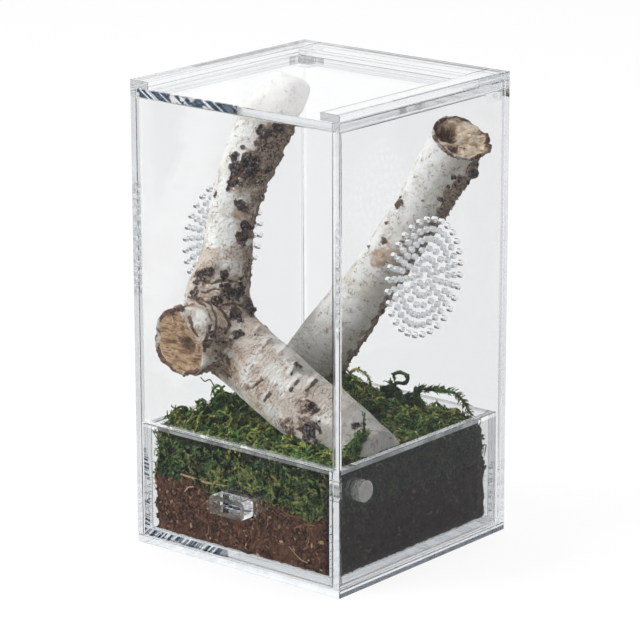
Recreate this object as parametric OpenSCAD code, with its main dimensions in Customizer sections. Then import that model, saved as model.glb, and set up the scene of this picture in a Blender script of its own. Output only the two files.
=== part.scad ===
// Clear tank for a small reptile or spider, planted and furnished.
// Millimetres. Z is up, the front with the drawer looks along -Y.
// The origin is at the middle of the base's underside.

/* [Tank] */
// Outside width, side to side
tank_width = 100; // [80:1:160]
// Outside depth, front to back, without the pull
tank_depth = 100; // [90:1:160]
// Outside height
tank_height = 180; // [150:1:260]
// Thickness of the clear sheet that every panel is cut from
sheet = 3; // [2.5:0.1:4]
// Width of the broken edge on every cut panel
edge_ease = 0.25; // [0.1:0.05:0.5]
// Glue line between two bonded panels
glue_line = 0.05; // [0.02:0.01:0.1]

/* [Drawer] */
// Height of the drawer's rim above the ground
rim_height = 48; // [38:1:70]
// Gap between the drawer and the tank at each side and at the back
drawer_play = 0.4; // [0.3:0.05:1]
// Gap under the drawer and under the front panel
drawer_lift = 0.4; // [0.3:0.05:1]

/* [Pull] */
// Outside width of the ring pull
pull_width = 17.2; // [14:0.2:30]
// Outside height of the ring pull
pull_height = 7.4; // [6.6:0.2:12]
// How far the ring pull stands out of the drawer
pull_depth = 5.2; // [3:0.2:10]
// Wall of the ring pull
pull_wall = 1.8; // [1.4:0.1:2.4]
// Outside corner radius of the ring pull
pull_corner = 2.2; // [2:0.1:3]
// Height of the pull's middle above the ground
pull_level = 25.6; // [16:0.2:30]

/* [Lid] */
// Play above and below the sliding lid, and at its sides
lid_play = 0.2; // [0.15:0.05:0.4]
// Width of the two side rails over the lid
side_rail = 9; // [6:0.5:14]
// Width of the rear rail over the lid
rear_rail_width = 14; // [8:0.5:20]

/* [Vents] */
// Height of the middle of each ring vent above the ground
vent_height = 111; // [100:1:125]
// Diameter of one air hole
vent_hole = 2.3; // [1.6:0.1:2.4]
// Radius of the innermost ring of holes
vent_first_ring = 3.3; // [3.2:0.1:4]
// Step from one ring of holes to the next
vent_ring_step = 3.65; // [3.5:0.05:4]

/* [Magnets] */
// Diameter of the two drawer magnets
drawer_magnet_size = 8; // [5:0.5:10]
// Diameter of the two lid magnets
lid_magnet_size = 5; // [3:0.5:6]
// Free ring between a magnet and its hole
magnet_play = 0.1; // [0.05:0.05:0.2]
// Distance from the tank's front to the drawer magnets
magnet_setback = 15; // [10:0.5:30]
// Height of the drawer magnets above the ground
magnet_level = 37.5; // [20:0.5:40]
// Side of the square block under the lid's rear corner
corner_size = 9.5; // [8:0.5:14]
// Thickness of that block
corner_thickness = 4; // [3.4:0.1:6]

/* [Planting] */
// Depth of the coir soil
soil_depth = 23; // [15:1:28]
// How much the soil's top rolls up and down
soil_roll = 1.2; // [0.4:0.1:2]
// Clear space between the planting and the drawer's walls
planting_play = 0.5; // [0.3:0.1:1]
// Height of the tallest moss heap above the rim
heap_rise = 10; // [4:0.5:12]

/* [Branches] */
// Diameter of the bent branch at its waist
bent_diameter = 25.2; // [16:0.2:26]
// Diameter of the straight branch
straight_diameter = 22.4; // [14:0.2:24]
// Gap at each place where a branch is wedged
wedge_play = 0.3; // [0.2:0.05:0.5]

/* [Hidden] */
$fn = 48;
half_width = tank_width / 2;
half_depth = tank_depth / 2;
inside_x = half_width - sheet;
inside_y = half_depth - sheet;

// The lid runs in a slot between the walls' tops and the rails.
rail_bottom = tank_height - sheet;
slot_height = sheet + 2 * lid_play;
slot_bottom = rail_bottom - slot_height;
wall_bottom = sheet + glue_line;
wall_top = slot_bottom - glue_line;
lid_bottom = slot_bottom + lid_play;
lid_half_width = inside_x - lid_play;

// The drawer fills the bottom of the tank, its front between the side walls.
drawer_half_width = inside_x - drawer_play;
drawer_back_y = inside_y - drawer_play;
drawer_bottom_z = sheet + drawer_lift;
drawer_floor_z = drawer_bottom_z + sheet;
drawer_height = rim_height - drawer_bottom_z;
drawer_inside_x = drawer_half_width - sheet;
drawer_inside_y = drawer_back_y - sheet;
front_inside_y = -half_depth + sheet;
panel_bottom = rim_height + drawer_lift;

// The corner magnet lies in the block, its mate in the lid right above.
corner_middle = corner_size / 2 + glue_line;
lid_magnet_x = -inside_x + corner_middle;
lid_magnet_y = inside_y - corner_middle;
magnet_depth = sheet;

// Soil and moss share the drawer's hollow.
soil_half_x = drawer_inside_x - planting_play;
soil_front_y = front_inside_y + planting_play;
soil_back_y = drawer_inside_y - planting_play;
soil_top = drawer_floor_z + soil_depth;
moss_gap = 0.3;
cap_bottom = rim_height - 4;
cap_level = rim_height + 0.2;

// Branch stations, from the walls, the rim and the lid that wedge them.
foot_z = rim_height + 0.6;
top_cut = slot_bottom - 2.4;
front_cut = -inside_y + wedge_play;
chamber = slot_bottom - foot_z;
bent_r = bent_diameter / 2;
straight_r = straight_diameter / 2;
limb_r = bent_r * 0.83;
joint_swell = 1.01;
wall_reach = inside_x - wedge_play;
bent_elbow = [-wall_reach + bent_r + 7.5, -inside_y + 22, foot_z + chamber * 0.26];
bent_top = [-wall_reach + limb_r + 4.2, inside_y - 26.5, top_cut + 6];
bent_lean = [-wall_reach + limb_r * joint_swell, -3.5, foot_z + chamber * 0.68];
bent_waist = [-wall_reach + limb_r + 3.3, -inside_y + 26.5, foot_z + chamber * 0.44];
bent_foot = [inside_x - 13.5, -inside_y + 24, foot_z + 2];
bent_stub = [bent_elbow[0] - 1.5, front_cut - 2, bent_elbow[2] + 2];
top_reach = straight_r * joint_swell + wedge_play;
straight_top = [inside_x - top_reach, inside_y - top_reach, foot_z + chamber * 0.86];
straight_bend = [11, 15.5, foot_z + chamber * 0.385];
straight_knee = [-6.5, 8, foot_z + chamber * 0.195];
straight_foot = [-17, 1, foot_z - 2];

// Node to draw, or all of them

// A rectangle in the quarter from the origin, its corners broken.
module eased_rectangle(w, h) {
  polygon([
    [edge_ease, 0], [w - edge_ease, 0], [w, edge_ease], [w, h - edge_ease],
    [w - edge_ease, h], [edge_ease, h], [0, h - edge_ease], [0, edge_ease]
  ]);
}

// A cut panel between two opposite corners, all twelve edges broken.
module panel(low, high) {
  size = high - low;
  translate(low)
    intersection() {
      linear_extrude(size[2])
        eased_rectangle(size[0], size[1]);
      translate([0, size[1], 0])
        rotate([90, 0, 0])
          linear_extrude(size[1])
            eased_rectangle(size[0], size[2]);
      rotate([90, 0, 90])
        linear_extrude(size[0])
          eased_rectangle(size[1], size[2]);
    }
}

// Air holes on ring number k: the three outer rings are the dense ones.
function holes_on_ring(k) = k == 0 ? 7 : (k < 3 ? 15 : 30);

// Six rings of through holes along X, round the vent's middle.
module vent_holes() {
  for (k = [0:5])
    for (i = [0:holes_on_ring(k) - 1])
      translate([0, 0, vent_height])
        rotate([i * 360 / holes_on_ring(k) + 3, 0, 0])
          translate([0, vent_first_ring + k * vent_ring_step, 0])
            rotate([0, 90, 0])
              cylinder(h = 3 * sheet, d = vent_hole, center = true, $fn = 16);
}

module magnet_hole_x(size) {
  translate([0, -half_depth + magnet_setback, magnet_level])
    rotate([0, 90, 0])
      cylinder(h = 3 * sheet, d = size + 2 * magnet_play, center = true);
}

module base_plate() {
  color([0.86, 0.9, 0.92, 0.4])
    panel([-half_width, -half_depth, 0], [half_width, half_depth, sheet]);
}

// A side wall runs from the front to the back wall, over the base.
module side_wall_blank(low_x) {
  panel(
    [low_x, -half_depth, wall_bottom],
    [low_x + sheet, inside_y - glue_line, wall_top]
  );
}

module left_wall() {
  color([0.86, 0.9, 0.92, 0.3])
    difference() {
      side_wall_blank(-half_width);
      translate([-half_width + sheet / 2, 0, 0])
        vent_holes();
    }
}

module right_wall() {
  color([0.86, 0.9, 0.92, 0.3])
    difference() {
      side_wall_blank(inside_x);
      translate([inside_x + sheet / 2, 0, 0])
        vent_holes();
      translate([inside_x + sheet / 2, 0, 0])
        magnet_hole_x(drawer_magnet_size);
    }
}

module back_wall() {
  color([0.86, 0.9, 0.92, 0.3])
    panel([-half_width, inside_y, wall_bottom], [half_width, half_depth, wall_top]);
}

// The fixed front starts over the drawer's rim and ends under the lid.
module front_panel() {
  edge_x = inside_x - glue_line;
  color([0.86, 0.9, 0.92, 0.3])
    panel([-edge_x, -half_depth, panel_bottom], [edge_x, front_inside_y, wall_top]);
}

// Spacer strips on the walls set the height of the lid's slot.
module left_spacer() {
  color([0.8, 0.85, 0.88, 0.4])
    panel(
      [-half_width, -half_depth, slot_bottom],
      [-inside_x, inside_y - glue_line, rail_bottom - glue_line]
    );
}

module right_spacer() {
  color([0.8, 0.85, 0.88, 0.4])
    mirror([1, 0, 0])
      left_spacer();
}

module rear_spacer() {
  color([0.8, 0.85, 0.88, 0.4])
    panel(
      [-half_width, inside_y, slot_bottom],
      [half_width, half_depth, rail_bottom - glue_line]
    );
}

// Rails over the lid's two sides and its rear edge.
module left_rail() {
  color([0.86, 0.9, 0.92, 0.4])
    panel(
      [-half_width, -half_depth, rail_bottom],
      [-half_width + side_rail, half_depth, tank_height]
    );
}

module right_rail() {
  color([0.86, 0.9, 0.92, 0.4])
    mirror([1, 0, 0])
      left_rail();
}

module rear_rail() {
  edge_x = half_width - side_rail - glue_line;
  color([0.86, 0.9, 0.92, 0.4])
    panel(
      [-edge_x, half_depth - rear_rail_width, rail_bottom],
      [edge_x, half_depth, tank_height]
    );
}

module lid_magnet_post(size, low, high) {
  translate([lid_magnet_x, lid_magnet_y, low])
    cylinder(h = high - low, d = size);
}

// Block in the rear left corner, with a pocket for its magnet.
module corner_block() {
  color([0.8, 0.85, 0.88, 0.5])
    difference() {
      panel(
        [
          lid_magnet_x - corner_size / 2,
          lid_magnet_y - corner_size / 2,
          wall_top - corner_thickness
        ],
        [lid_magnet_x + corner_size / 2, lid_magnet_y + corner_size / 2, wall_top]
      );
      lid_magnet_post(
        lid_magnet_size + 2 * magnet_play, wall_top - magnet_depth, wall_top + 1
      );
    }
}

module corner_magnet() {
  color([0.75, 0.75, 0.76])
    lid_magnet_post(lid_magnet_size, wall_top - magnet_depth, wall_top);
}

module magnet_disc_x(low_x) {
  translate([low_x, -half_depth + magnet_setback, magnet_level])
    rotate([0, 90, 0])
      cylinder(h = magnet_depth, d = drawer_magnet_size);
}

module wall_magnet() {
  color([0.75, 0.75, 0.76])
    magnet_disc_x(inside_x);
}

// The lid slides out to the front and stops at the rear spacer.
module lid() {
  color([0.86, 0.9, 0.92, 0.35])
    difference() {
      panel(
        [-lid_half_width, -half_depth, lid_bottom],
        [lid_half_width, inside_y - lid_play, lid_bottom + sheet]
      );
      lid_magnet_post(
        lid_magnet_size + 2 * magnet_play, lid_bottom - 1, lid_bottom + sheet + 1
      );
    }
}

module lid_magnet() {
  color([0.75, 0.75, 0.76])
    lid_magnet_post(lid_magnet_size, lid_bottom, lid_bottom + magnet_depth);
}

module drawer_front() {
  color([0.86, 0.9, 0.92, 0.35])
    panel(
      [-drawer_half_width, -half_depth, drawer_bottom_z],
      [drawer_half_width, front_inside_y, rim_height]
    );
}

module drawer_side_blank(low_x) {
  panel(
    [low_x, front_inside_y + glue_line, drawer_bottom_z],
    [low_x + sheet, drawer_back_y, rim_height]
  );
}

module drawer_left_side() {
  color([0.86, 0.9, 0.92, 0.35])
    drawer_side_blank(-drawer_half_width);
}

module drawer_right_side() {
  color([0.86, 0.9, 0.92, 0.35])
    difference() {
      drawer_side_blank(drawer_inside_x);
      translate([drawer_inside_x + sheet / 2, 0, 0])
        magnet_hole_x(drawer_magnet_size);
    }
}

module drawer_back() {
  edge_x = drawer_inside_x - glue_line;
  color([0.86, 0.9, 0.92, 0.35])
    panel(
      [-edge_x, drawer_inside_y, drawer_bottom_z],
      [edge_x, drawer_back_y, rim_height]
    );
}

module drawer_bottom() {
  edge_x = drawer_inside_x - glue_line;
  color([0.86, 0.9, 0.92, 0.35])
    panel(
      [-edge_x, front_inside_y + glue_line, drawer_bottom_z],
      [edge_x, drawer_inside_y - glue_line, drawer_floor_z]
    );
}

// A rectangle round the origin, its four corners round.
module rounded_rectangle(w, h, r) {
  union() {
    square([w - 2 * r, h], center = true);
    square([w, h - 2 * r], center = true);
    for (x = [-1, 1])
      for (y = [-1, 1])
        translate([x * (w / 2 - r), y * (h / 2 - r)])
          circle(r = r);
  }
}

// The ring pull is one short length of rectangular tube.
module drawer_pull() {
  inner_corner = pull_corner - 1.2;
  color([0.86, 0.9, 0.92, 0.45])
    translate([0, -half_depth - glue_line, pull_level])
      rotate([90, 0, 0])
        linear_extrude(pull_depth)
          difference() {
            rounded_rectangle(pull_width, pull_height, pull_corner);
            rounded_rectangle(
              pull_width - 2 * pull_wall, pull_height - 2 * pull_wall, inner_corner
            );
          }
}

module drawer_magnet() {
  color([0.75, 0.75, 0.76])
    magnet_disc_x(drawer_half_width - magnet_depth);
}

// Height of the soil's rolling top at place x.
function soil_line(x) = soil_top + soil_roll * sin(x * 9) + soil_roll * 0.5 * cos(x * 17);

soil_stations = [for (i = [0:12]) -soil_half_x + i * soil_half_x / 6];

// Coir soil: a rolling profile run from the drawer's front to its back.
module substrate() {
  top = [for (x = soil_stations) [x, soil_line(x)]];
  color([0.27, 0.17, 0.12])
    translate([0, soil_back_y, 0])
      rotate([90, 0, 0])
        linear_extrude(soil_back_y - soil_front_y)
          polygon(concat(
            [[soil_half_x, drawer_floor_z], [-soil_half_x, drawer_floor_z]], top
          ));
}

// Ragged outline of the moss, seen from above.
function ragged(a) = 1 - 0.025 * (1 + sin(a * 7)) - 0.02 * (1 + cos(a * 11));

module moss_outline() {
  middle_y = (soil_front_y + soil_back_y) / 2;
  half_y = (soil_back_y - soil_front_y) / 2;
  translate([0, middle_y])
    polygon([
      for (i = [0:47])
        let (a = i * 7.5, reach = max(abs(cos(a)), abs(sin(a))))
          [soil_half_x * cos(a) / reach, half_y * sin(a) / reach] * ragged(a)
    ]);
}

// Moss from the soil up to just under the rim.
module moss_bed() {
  under = [for (i = [12:-1:0]) [soil_stations[i], soil_line(soil_stations[i]) + moss_gap]];
  color([0.16, 0.27, 0.09])
    intersection() {
      linear_extrude(cap_bottom - moss_gap)
        moss_outline();
      translate([0, soil_back_y, 0])
        rotate([90, 0, 0])
          linear_extrude(soil_back_y - soil_front_y)
            polygon(concat(
              [[-soil_half_x, cap_bottom + 1], [soil_half_x, cap_bottom + 1]], under
            ));
    }
}

// A low dome of moss: a slice of a ball with the given footprint and rise.
module heap(x, y, footprint, rise) {
  ball = (footprint * footprint + rise * rise) / (2 * rise);
  translate([x, y, cap_level + rise - ball])
    sphere(r = ball);
}

// The loose top of the moss, heaped up round the branches' feet.
module moss_heaps() {
  color([0.22, 0.36, 0.1])
    intersection() {
      translate([0, 0, cap_bottom])
        linear_extrude(heap_rise + 8)
          moss_outline();
      union() {
        translate([-half_width, -half_depth, cap_bottom])
          cube([tank_width, tank_depth, cap_level - cap_bottom]);
        heap(-drawer_inside_x + 17, drawer_inside_y - 14, 15, heap_rise);
        heap(drawer_inside_x - 21, drawer_inside_y - 17, 17, heap_rise);
        heap(-drawer_inside_x + 15, front_inside_y + 15, 13, heap_rise * 0.5);
        heap(drawer_inside_x - 12, 5, 11, heap_rise * 0.6);
      }
    }
}

// A tapered round length between two stations.
module limb(from, to, r_from, r_to) {
  way = to - from;
  reach = norm(way);
  translate(from)
    rotate([0, acos(way[2] / reach), atan2(way[1], way[0])])
      cylinder(h = reach, r1 = r_from, r2 = r_to);
}

module swell(at, r) {
  translate(at)
    sphere(r = r * joint_swell);
}

// What the saw leaves: level feet, a level top and a stub cut square.
module sawn_space() {
  translate([-half_width, front_cut, foot_z])
    cube([tank_width, tank_depth, top_cut - foot_z]);
}

// The bent branch: an upright limb, a leaning limb and a sawn stub.
module bent_branch() {
  past_foot = bent_foot + (bent_foot - bent_elbow) * 0.06;
  color([0.85, 0.82, 0.76])
    intersection() {
      union() {
        limb(bent_elbow, bent_waist, bent_r, limb_r * 1.06);
        limb(bent_waist, bent_lean, limb_r * 1.06, limb_r);
        limb(bent_lean, bent_top, limb_r, limb_r * 0.97);
        swell(bent_waist, limb_r * 1.06);
        swell(bent_lean, limb_r);
        swell(bent_elbow, bent_r * 1.03);
        limb(bent_elbow, bent_stub, bent_r, bent_r * 0.96);
        limb(bent_elbow, past_foot, bent_r * 1.02, bent_r);
      }
      sawn_space();
    }
}

// The straight branch: it leans from the moss into the rear right corner.
module straight_branch() {
  color([0.87, 0.84, 0.78])
    intersection() {
      union() {
        limb(straight_foot, straight_knee, straight_r * 1.02, straight_r);
        limb(straight_knee, straight_bend, straight_r, straight_r * 0.99);
        limb(straight_bend, straight_top, straight_r * 0.99, straight_r);
        swell(straight_knee, straight_r);
        swell(straight_bend, straight_r * 0.99);
      }
      sawn_space();
    }
}

base_plate();
left_wall();
right_wall();
back_wall();
front_panel();
left_spacer();
right_spacer();
rear_spacer();
left_rail();
right_rail();
rear_rail();
corner_block();
corner_magnet();
wall_magnet();
lid();
lid_magnet();
drawer_front();
drawer_left_side();
drawer_right_side();
drawer_back();
drawer_bottom();
drawer_pull();
drawer_magnet();
substrate();
moss_bed();
moss_heaps();
bent_branch();
straight_branch();
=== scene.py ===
# %% [markdown]
# # A clear terrarium, planted and furnished
# A small tank of clear sheet stands on a pale floor. A lid slides in a slot at the top, and a
# drawer with soil and moss slides out at the bottom. Two birch branches are wedged inside.
#
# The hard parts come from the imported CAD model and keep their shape. This lesson gives them their
# finish, and makes what CAD draws only roughly: the soil, the moss and the bark.

# %% Load the model
import math

import bpy
import numpy as np
from mathutils import Euler, Matrix, Vector


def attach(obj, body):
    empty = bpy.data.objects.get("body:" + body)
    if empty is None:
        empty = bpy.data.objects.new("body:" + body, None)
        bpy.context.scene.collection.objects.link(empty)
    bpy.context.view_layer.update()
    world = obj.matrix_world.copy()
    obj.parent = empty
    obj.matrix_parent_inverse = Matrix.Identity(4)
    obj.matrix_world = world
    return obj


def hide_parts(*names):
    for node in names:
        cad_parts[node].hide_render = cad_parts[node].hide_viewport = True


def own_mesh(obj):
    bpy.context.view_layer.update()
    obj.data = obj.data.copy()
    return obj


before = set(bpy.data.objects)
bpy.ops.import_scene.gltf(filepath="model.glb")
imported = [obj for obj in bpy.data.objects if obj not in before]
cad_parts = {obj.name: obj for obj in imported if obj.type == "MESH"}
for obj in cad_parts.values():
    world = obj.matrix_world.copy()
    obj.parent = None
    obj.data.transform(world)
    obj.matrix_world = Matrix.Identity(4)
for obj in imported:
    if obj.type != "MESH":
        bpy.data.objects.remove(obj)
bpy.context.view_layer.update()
scene = bpy.context.scene
MM = 0.001

# %% [markdown]
# ## Camera
# A product photograph is taken from far away with a long lens, so that upright edges stay nearly
# parallel. The camera looks 40 degrees round from the front and 16 degrees down.

# %% Place the camera
lens = bpy.data.cameras.new("long_lens")
lens.lens = 187.03
lens.sensor_width = 36
camera = bpy.data.objects.new("camera", lens)
turn = Euler((math.radians(90 - 15.71), 0, math.radians(39.81))).to_matrix().to_4x4()
camera.matrix_world = (
    Matrix.Translation((0.7735, -0.9289, 0.4259)) @ turn @ Matrix.Rotation(math.radians(-0.13), 4, "Z")
)
scene.collection.objects.link(camera)
scene.camera = camera
scene.view_settings.view_transform = "Standard"
print("camera", [round(v, 3) for v in camera.location])

# %% [markdown]
# ## Building materials from nodes
# A material is a small network. Three helpers keep the networks short to read: one adds a node and
# fills its inputs, one does sums, and one mixes two colours by a mask.


# %% Helpers for node networks
def put(tree, kind, inputs=None, **settings):
    """Adds a node. An input is filled with a value, or linked if the value is a socket."""
    node = tree.nodes.new(kind)
    for name, value in settings.items():
        setattr(node, name, value)
    for name, value in (inputs or {}).items():
        socket = node.inputs[name]
        if isinstance(value, bpy.types.NodeSocket):
            tree.links.new(value, socket)
        elif socket.type == "RGBA":
            socket.default_value = (*value, 1)
        else:
            socket.default_value = value
    return node


def calc(tree, how, a, b=0.0, clamp=False):
    """One sum or comparison."""
    return put(tree, "ShaderNodeMath", {0: a, 1: b}, operation=how, use_clamp=clamp).outputs[0]


def between(tree, value, low, high, to_low=0.0, to_high=1.0):
    """Turns low..high into to_low..to_high, smoothly, and holds the ends."""
    return put(
        tree, "ShaderNodeMapRange",
        {"Value": value, "From Min": low, "From Max": high, "To Min": to_low, "To Max": to_high},
        interpolation_type="SMOOTHSTEP",
    ).outputs[0]


def tint(tree, mask, a, b, how="MIX"):
    """Colour a where the mask is 0, colour b where it is 1."""
    return put(
        tree, "ShaderNodeMix", {0: mask, 6: a, 7: b}, data_type="RGBA", blend_type=how
    ).outputs[2]


def noise(tree, at, size, detail=3.0, rough=0.55):
    """Cloudy grey pattern whose patches are about this many metres wide."""
    return put(
        tree, "ShaderNodeTexNoise",
        {"Vector": at, "Scale": 1 / size, "Detail": detail, "Roughness": rough},
    ).outputs[0]


def stretch(tree, at, x, y, z):
    """The same place, measured in other steps along each axis."""
    return put(tree, "ShaderNodeVectorMath", {0: at, 1: (x, y, z)}, operation="MULTIPLY").outputs[0]


def new_material(name):
    """An empty material, its tree and its output."""
    material = bpy.data.materials.new(name)
    material.use_nodes = True
    material.node_tree.nodes.clear()
    return material, material.node_tree, put(material.node_tree, "ShaderNodeOutputMaterial")


def new_group(name, inputs, outputs):
    """An empty node group with named sockets."""
    tree = bpy.data.node_groups.new(name, "ShaderNodeTree")
    for title, kind, value in inputs:
        tree.interface.new_socket(title, in_out="INPUT", socket_type=kind).default_value = value
    for title, kind in outputs:
        tree.interface.new_socket(title, in_out="OUTPUT", socket_type=kind)
    return tree, put(tree, "NodeGroupInput").outputs, put(tree, "NodeGroupOutput")


# %% [markdown]
# ## Studio
# The floor and the world are white where the camera looks at them, also through the clear sheet.
# What the sheet mirrors is darker, as in a studio where only the backdrop is lit, and that is what
# makes clear walls show at all. A ray that was mirrored just once has one more bounce than it has
# passed faces, so the two counts tell a mirrored view from a view straight through. Light that is
# piped along inside a sheet has been mirrored often, and comes out at the cut edge as pale light.


# %% How a ray came here
def ray_story(tree):
    """Masks for a ray: straight from the camera, piped in a sheet, mirrored last, passed through a face last."""
    path = put(tree, "ShaderNodeLightPath").outputs
    mirrored = calc(tree, "SUBTRACT", path["Ray Depth"], path["Transmission Depth"])
    seen = calc(tree, "MAXIMUM", path["Is Camera Ray"], path["Is Transmission Ray"])
    straight = calc(tree, "MULTIPLY", seen, calc(tree, "LESS_THAN", mirrored, 0.5))
    piped = calc(tree, "MULTIPLY", path["Is Transmission Ray"], calc(tree, "GREATER_THAN", mirrored, 1.5))
    return straight, piped, path["Is Glossy Ray"], path["Is Transmission Ray"]


# %% Floor
def studio_floor():
    material, tree, out = new_material("pale_floor")
    straight, piped, glossy, _ = ray_story(tree)
    bounced = put(tree, "ShaderNodeLightPath").outputs["Is Diffuse Ray"]
    colour = tint(tree, bounced, (0.075, 0.075, 0.08), (0.50, 0.50, 0.50))
    colour = tint(tree, straight, colour, (0.93, 0.93, 0.93))
    paper = put(tree, "ShaderNodeBsdfDiffuse", {"Color": colour})
    white = put(tree, "ShaderNodeEmission", {"Color": (1, 1, 1), "Strength": 1.0})
    share = calc(tree, "MAXIMUM", calc(tree, "MULTIPLY", straight, 0.86), calc(tree, "MULTIPLY", piped, 0.82))
    share = calc(tree, "MAXIMUM", share, calc(tree, "MULTIPLY", glossy, 0.10))
    both = put(tree, "ShaderNodeMixShader", {0: share, 1: paper.outputs[0], 2: white.outputs[0]})
    tree.links.new(both.outputs[0], out.inputs["Surface"])
    mesh = bpy.data.meshes.new("floor")
    mesh.from_pydata([(-9, -9, -0.0003), (9, -9, -0.0003), (9, 9, -0.0003), (-9, 9, -0.0003)], [], [(0, 1, 2, 3)])
    mesh.materials.append(material)
    floor = bpy.data.objects.new("floor", mesh)
    scene.collection.objects.link(floor)
    return floor


floor = studio_floor()


# %% World
def studio_world():
    world = bpy.data.worlds.new("studio")
    world.use_nodes = True
    tree = world.node_tree
    tree.nodes.clear()
    straight, piped, glossy, passed = ray_story(tree)
    way = put(tree, "ShaderNodeTexCoord").outputs["Generated"]
    height = put(tree, "ShaderNodeSeparateXYZ", {0: way}).outputs["Z"]
    front = put(
        tree, "ShaderNodeVectorMath", {0: way, 1: (0.64, -0.77, 0)}, operation="DOT_PRODUCT"
    ).outputs["Value"]
    darkest = put(tree, "ShaderNodeMix", {0: passed, 2: 0.10, 3: 0.50}).outputs[0]
    mirrored = calc(tree, "MULTIPLY", between(tree, height, 0.3, 0.95, 1.15, 0.5),
                    between(tree, front, -0.1, 0.6, 1.0, darkest))
    reflected = calc(tree, "MAXIMUM", glossy, passed)
    open_view = calc(tree, "MAXIMUM", straight, piped)
    right = put(
        tree, "ShaderNodeVectorMath", {0: way, 1: (0.95, 0.3, -0.1)}, operation="DOT_PRODUCT"
    ).outputs["Value"]
    ambient = between(tree, right, 0.15, 0.8, 0.62, 0.14)
    strength = put(tree, "ShaderNodeMix", {0: reflected, 2: ambient, 3: mirrored}).outputs[0]
    strength = put(tree, "ShaderNodeMix", {0: open_view, 2: strength, 3: 1.0}).outputs[0]
    shade = put(tree, "ShaderNodeBackground", {"Color": (1, 1, 1), "Strength": strength})
    out = put(tree, "ShaderNodeOutputWorld", {"Surface": shade.outputs[0]})
    scene.world = world
    return out


studio_world()


# %% Lamps
def soft_lamp(name, place, watts, wide):
    lamp = bpy.data.lights.new(name, "AREA")
    lamp.energy = watts
    lamp.size = wide
    holder = bpy.data.objects.new(name, lamp)
    holder.location = place
    holder.rotation_euler = (Vector((0, 0, 0.09)) - Vector(place)).to_track_quat("-Z", "Y").to_euler()
    holder.visible_glossy = False
    holder.visible_transmission = False
    scene.collection.objects.link(holder)
    return holder


soft_lamp("key_lamp", (-0.95, -1.2, 0.95), 26.0, 0.7)
soft_lamp("top_lamp", (-0.1, 0.3, 1.5), 11.0, 0.9)
print("lamps and floor set")

# Light has to pass many faces of clear sheet before it reaches the white behind it.
scene.cycles.max_bounces = 32
scene.cycles.transmission_bounces = 32
scene.cycles.glossy_bounces = 32
scene.cycles.diffuse_bounces = 3
scene.cycles.transparent_max_bounces = 32

# %% [markdown]
# ## Clear sheet
# The tank is cast acrylic sheet, 3 mm thick. Its faces are polished, and its cut edges carry fine
# saw marks that scatter light, so an edge looks paler than a face. One group finds the edges: a
# face is an edge where it is square to the sheet's own axis. Hairline scuffs and dust come from
# stretched noise. Lamp light is let straight through, which is how clear sheet lights its inside.
# Some margins also get a painted glow, standing in for light piped along the sheet, and some cut edges get painted dark
# reflections.


# %% Marks on clear sheet
def sheet_marks():
    tree, given, out = new_group(
        "sheet_marks",
        [("Axis", "NodeSocketVector", (0, 1, 0))],
        [("Cut Edge", "NodeSocketFloat"), ("Roughness", "NodeSocketFloat"), ("Height", "NodeSocketFloat"),
         ("Frost", "NodeSocketFloat")],
    )
    coords = put(tree, "ShaderNodeTexCoord").outputs
    at = coords["Object"]
    facing = put(
        tree, "ShaderNodeVectorMath", {0: coords["Normal"], 1: given["Axis"]}, operation="DOT_PRODUCT"
    ).outputs["Value"]
    edge = calc(tree, "LESS_THAN", calc(tree, "ABSOLUTE", facing), 0.8)
    hair = noise(tree, stretch(tree, at, 1, 1, 0.04), 0.0011, 2.0)
    hair = between(tree, hair, 0.70, 0.76)
    cross = between(tree, noise(tree, stretch(tree, at, 0.05, 0.05, 1), 0.0013, 2.0), 0.72, 0.78)
    dust = between(tree, noise(tree, at, 0.0007, 1.0), 0.74, 0.80)
    marks = calc(tree, "MAXIMUM", calc(tree, "MAXIMUM", hair, cross), dust)
    saw = noise(tree, at, 0.00045, 2.0)
    rough = put(tree, "ShaderNodeMix", {
        0: edge, 2: calc(tree, "MULTIPLY", marks, 0.04), 3: between(tree, saw, 0.3, 0.7, 0.08, 0.16),
    }).outputs[0]
    height = calc(tree, "MULTIPLY", edge, saw)
    # The air holes are burnt through with a laser, which leaves their walls frosted.
    middle = put(tree, "ShaderNodeVectorMath", {
        0: stretch(tree, at, 0, 1, 1), 1: (0, 0, 0.111),
    }, operation="DISTANCE").outputs["Value"]
    frost = calc(tree, "MULTIPLY", edge, calc(tree, "LESS_THAN", middle, 0.019))
    rough = put(tree, "ShaderNodeMix", {0: frost, 2: rough, 3: 0.50}).outputs[0]
    for title, value in (("Cut Edge", edge), ("Roughness", rough), ("Height", height), ("Frost", frost)):
        tree.links.new(value, out.inputs[title])
    return tree


marks_group = sheet_marks()
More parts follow.
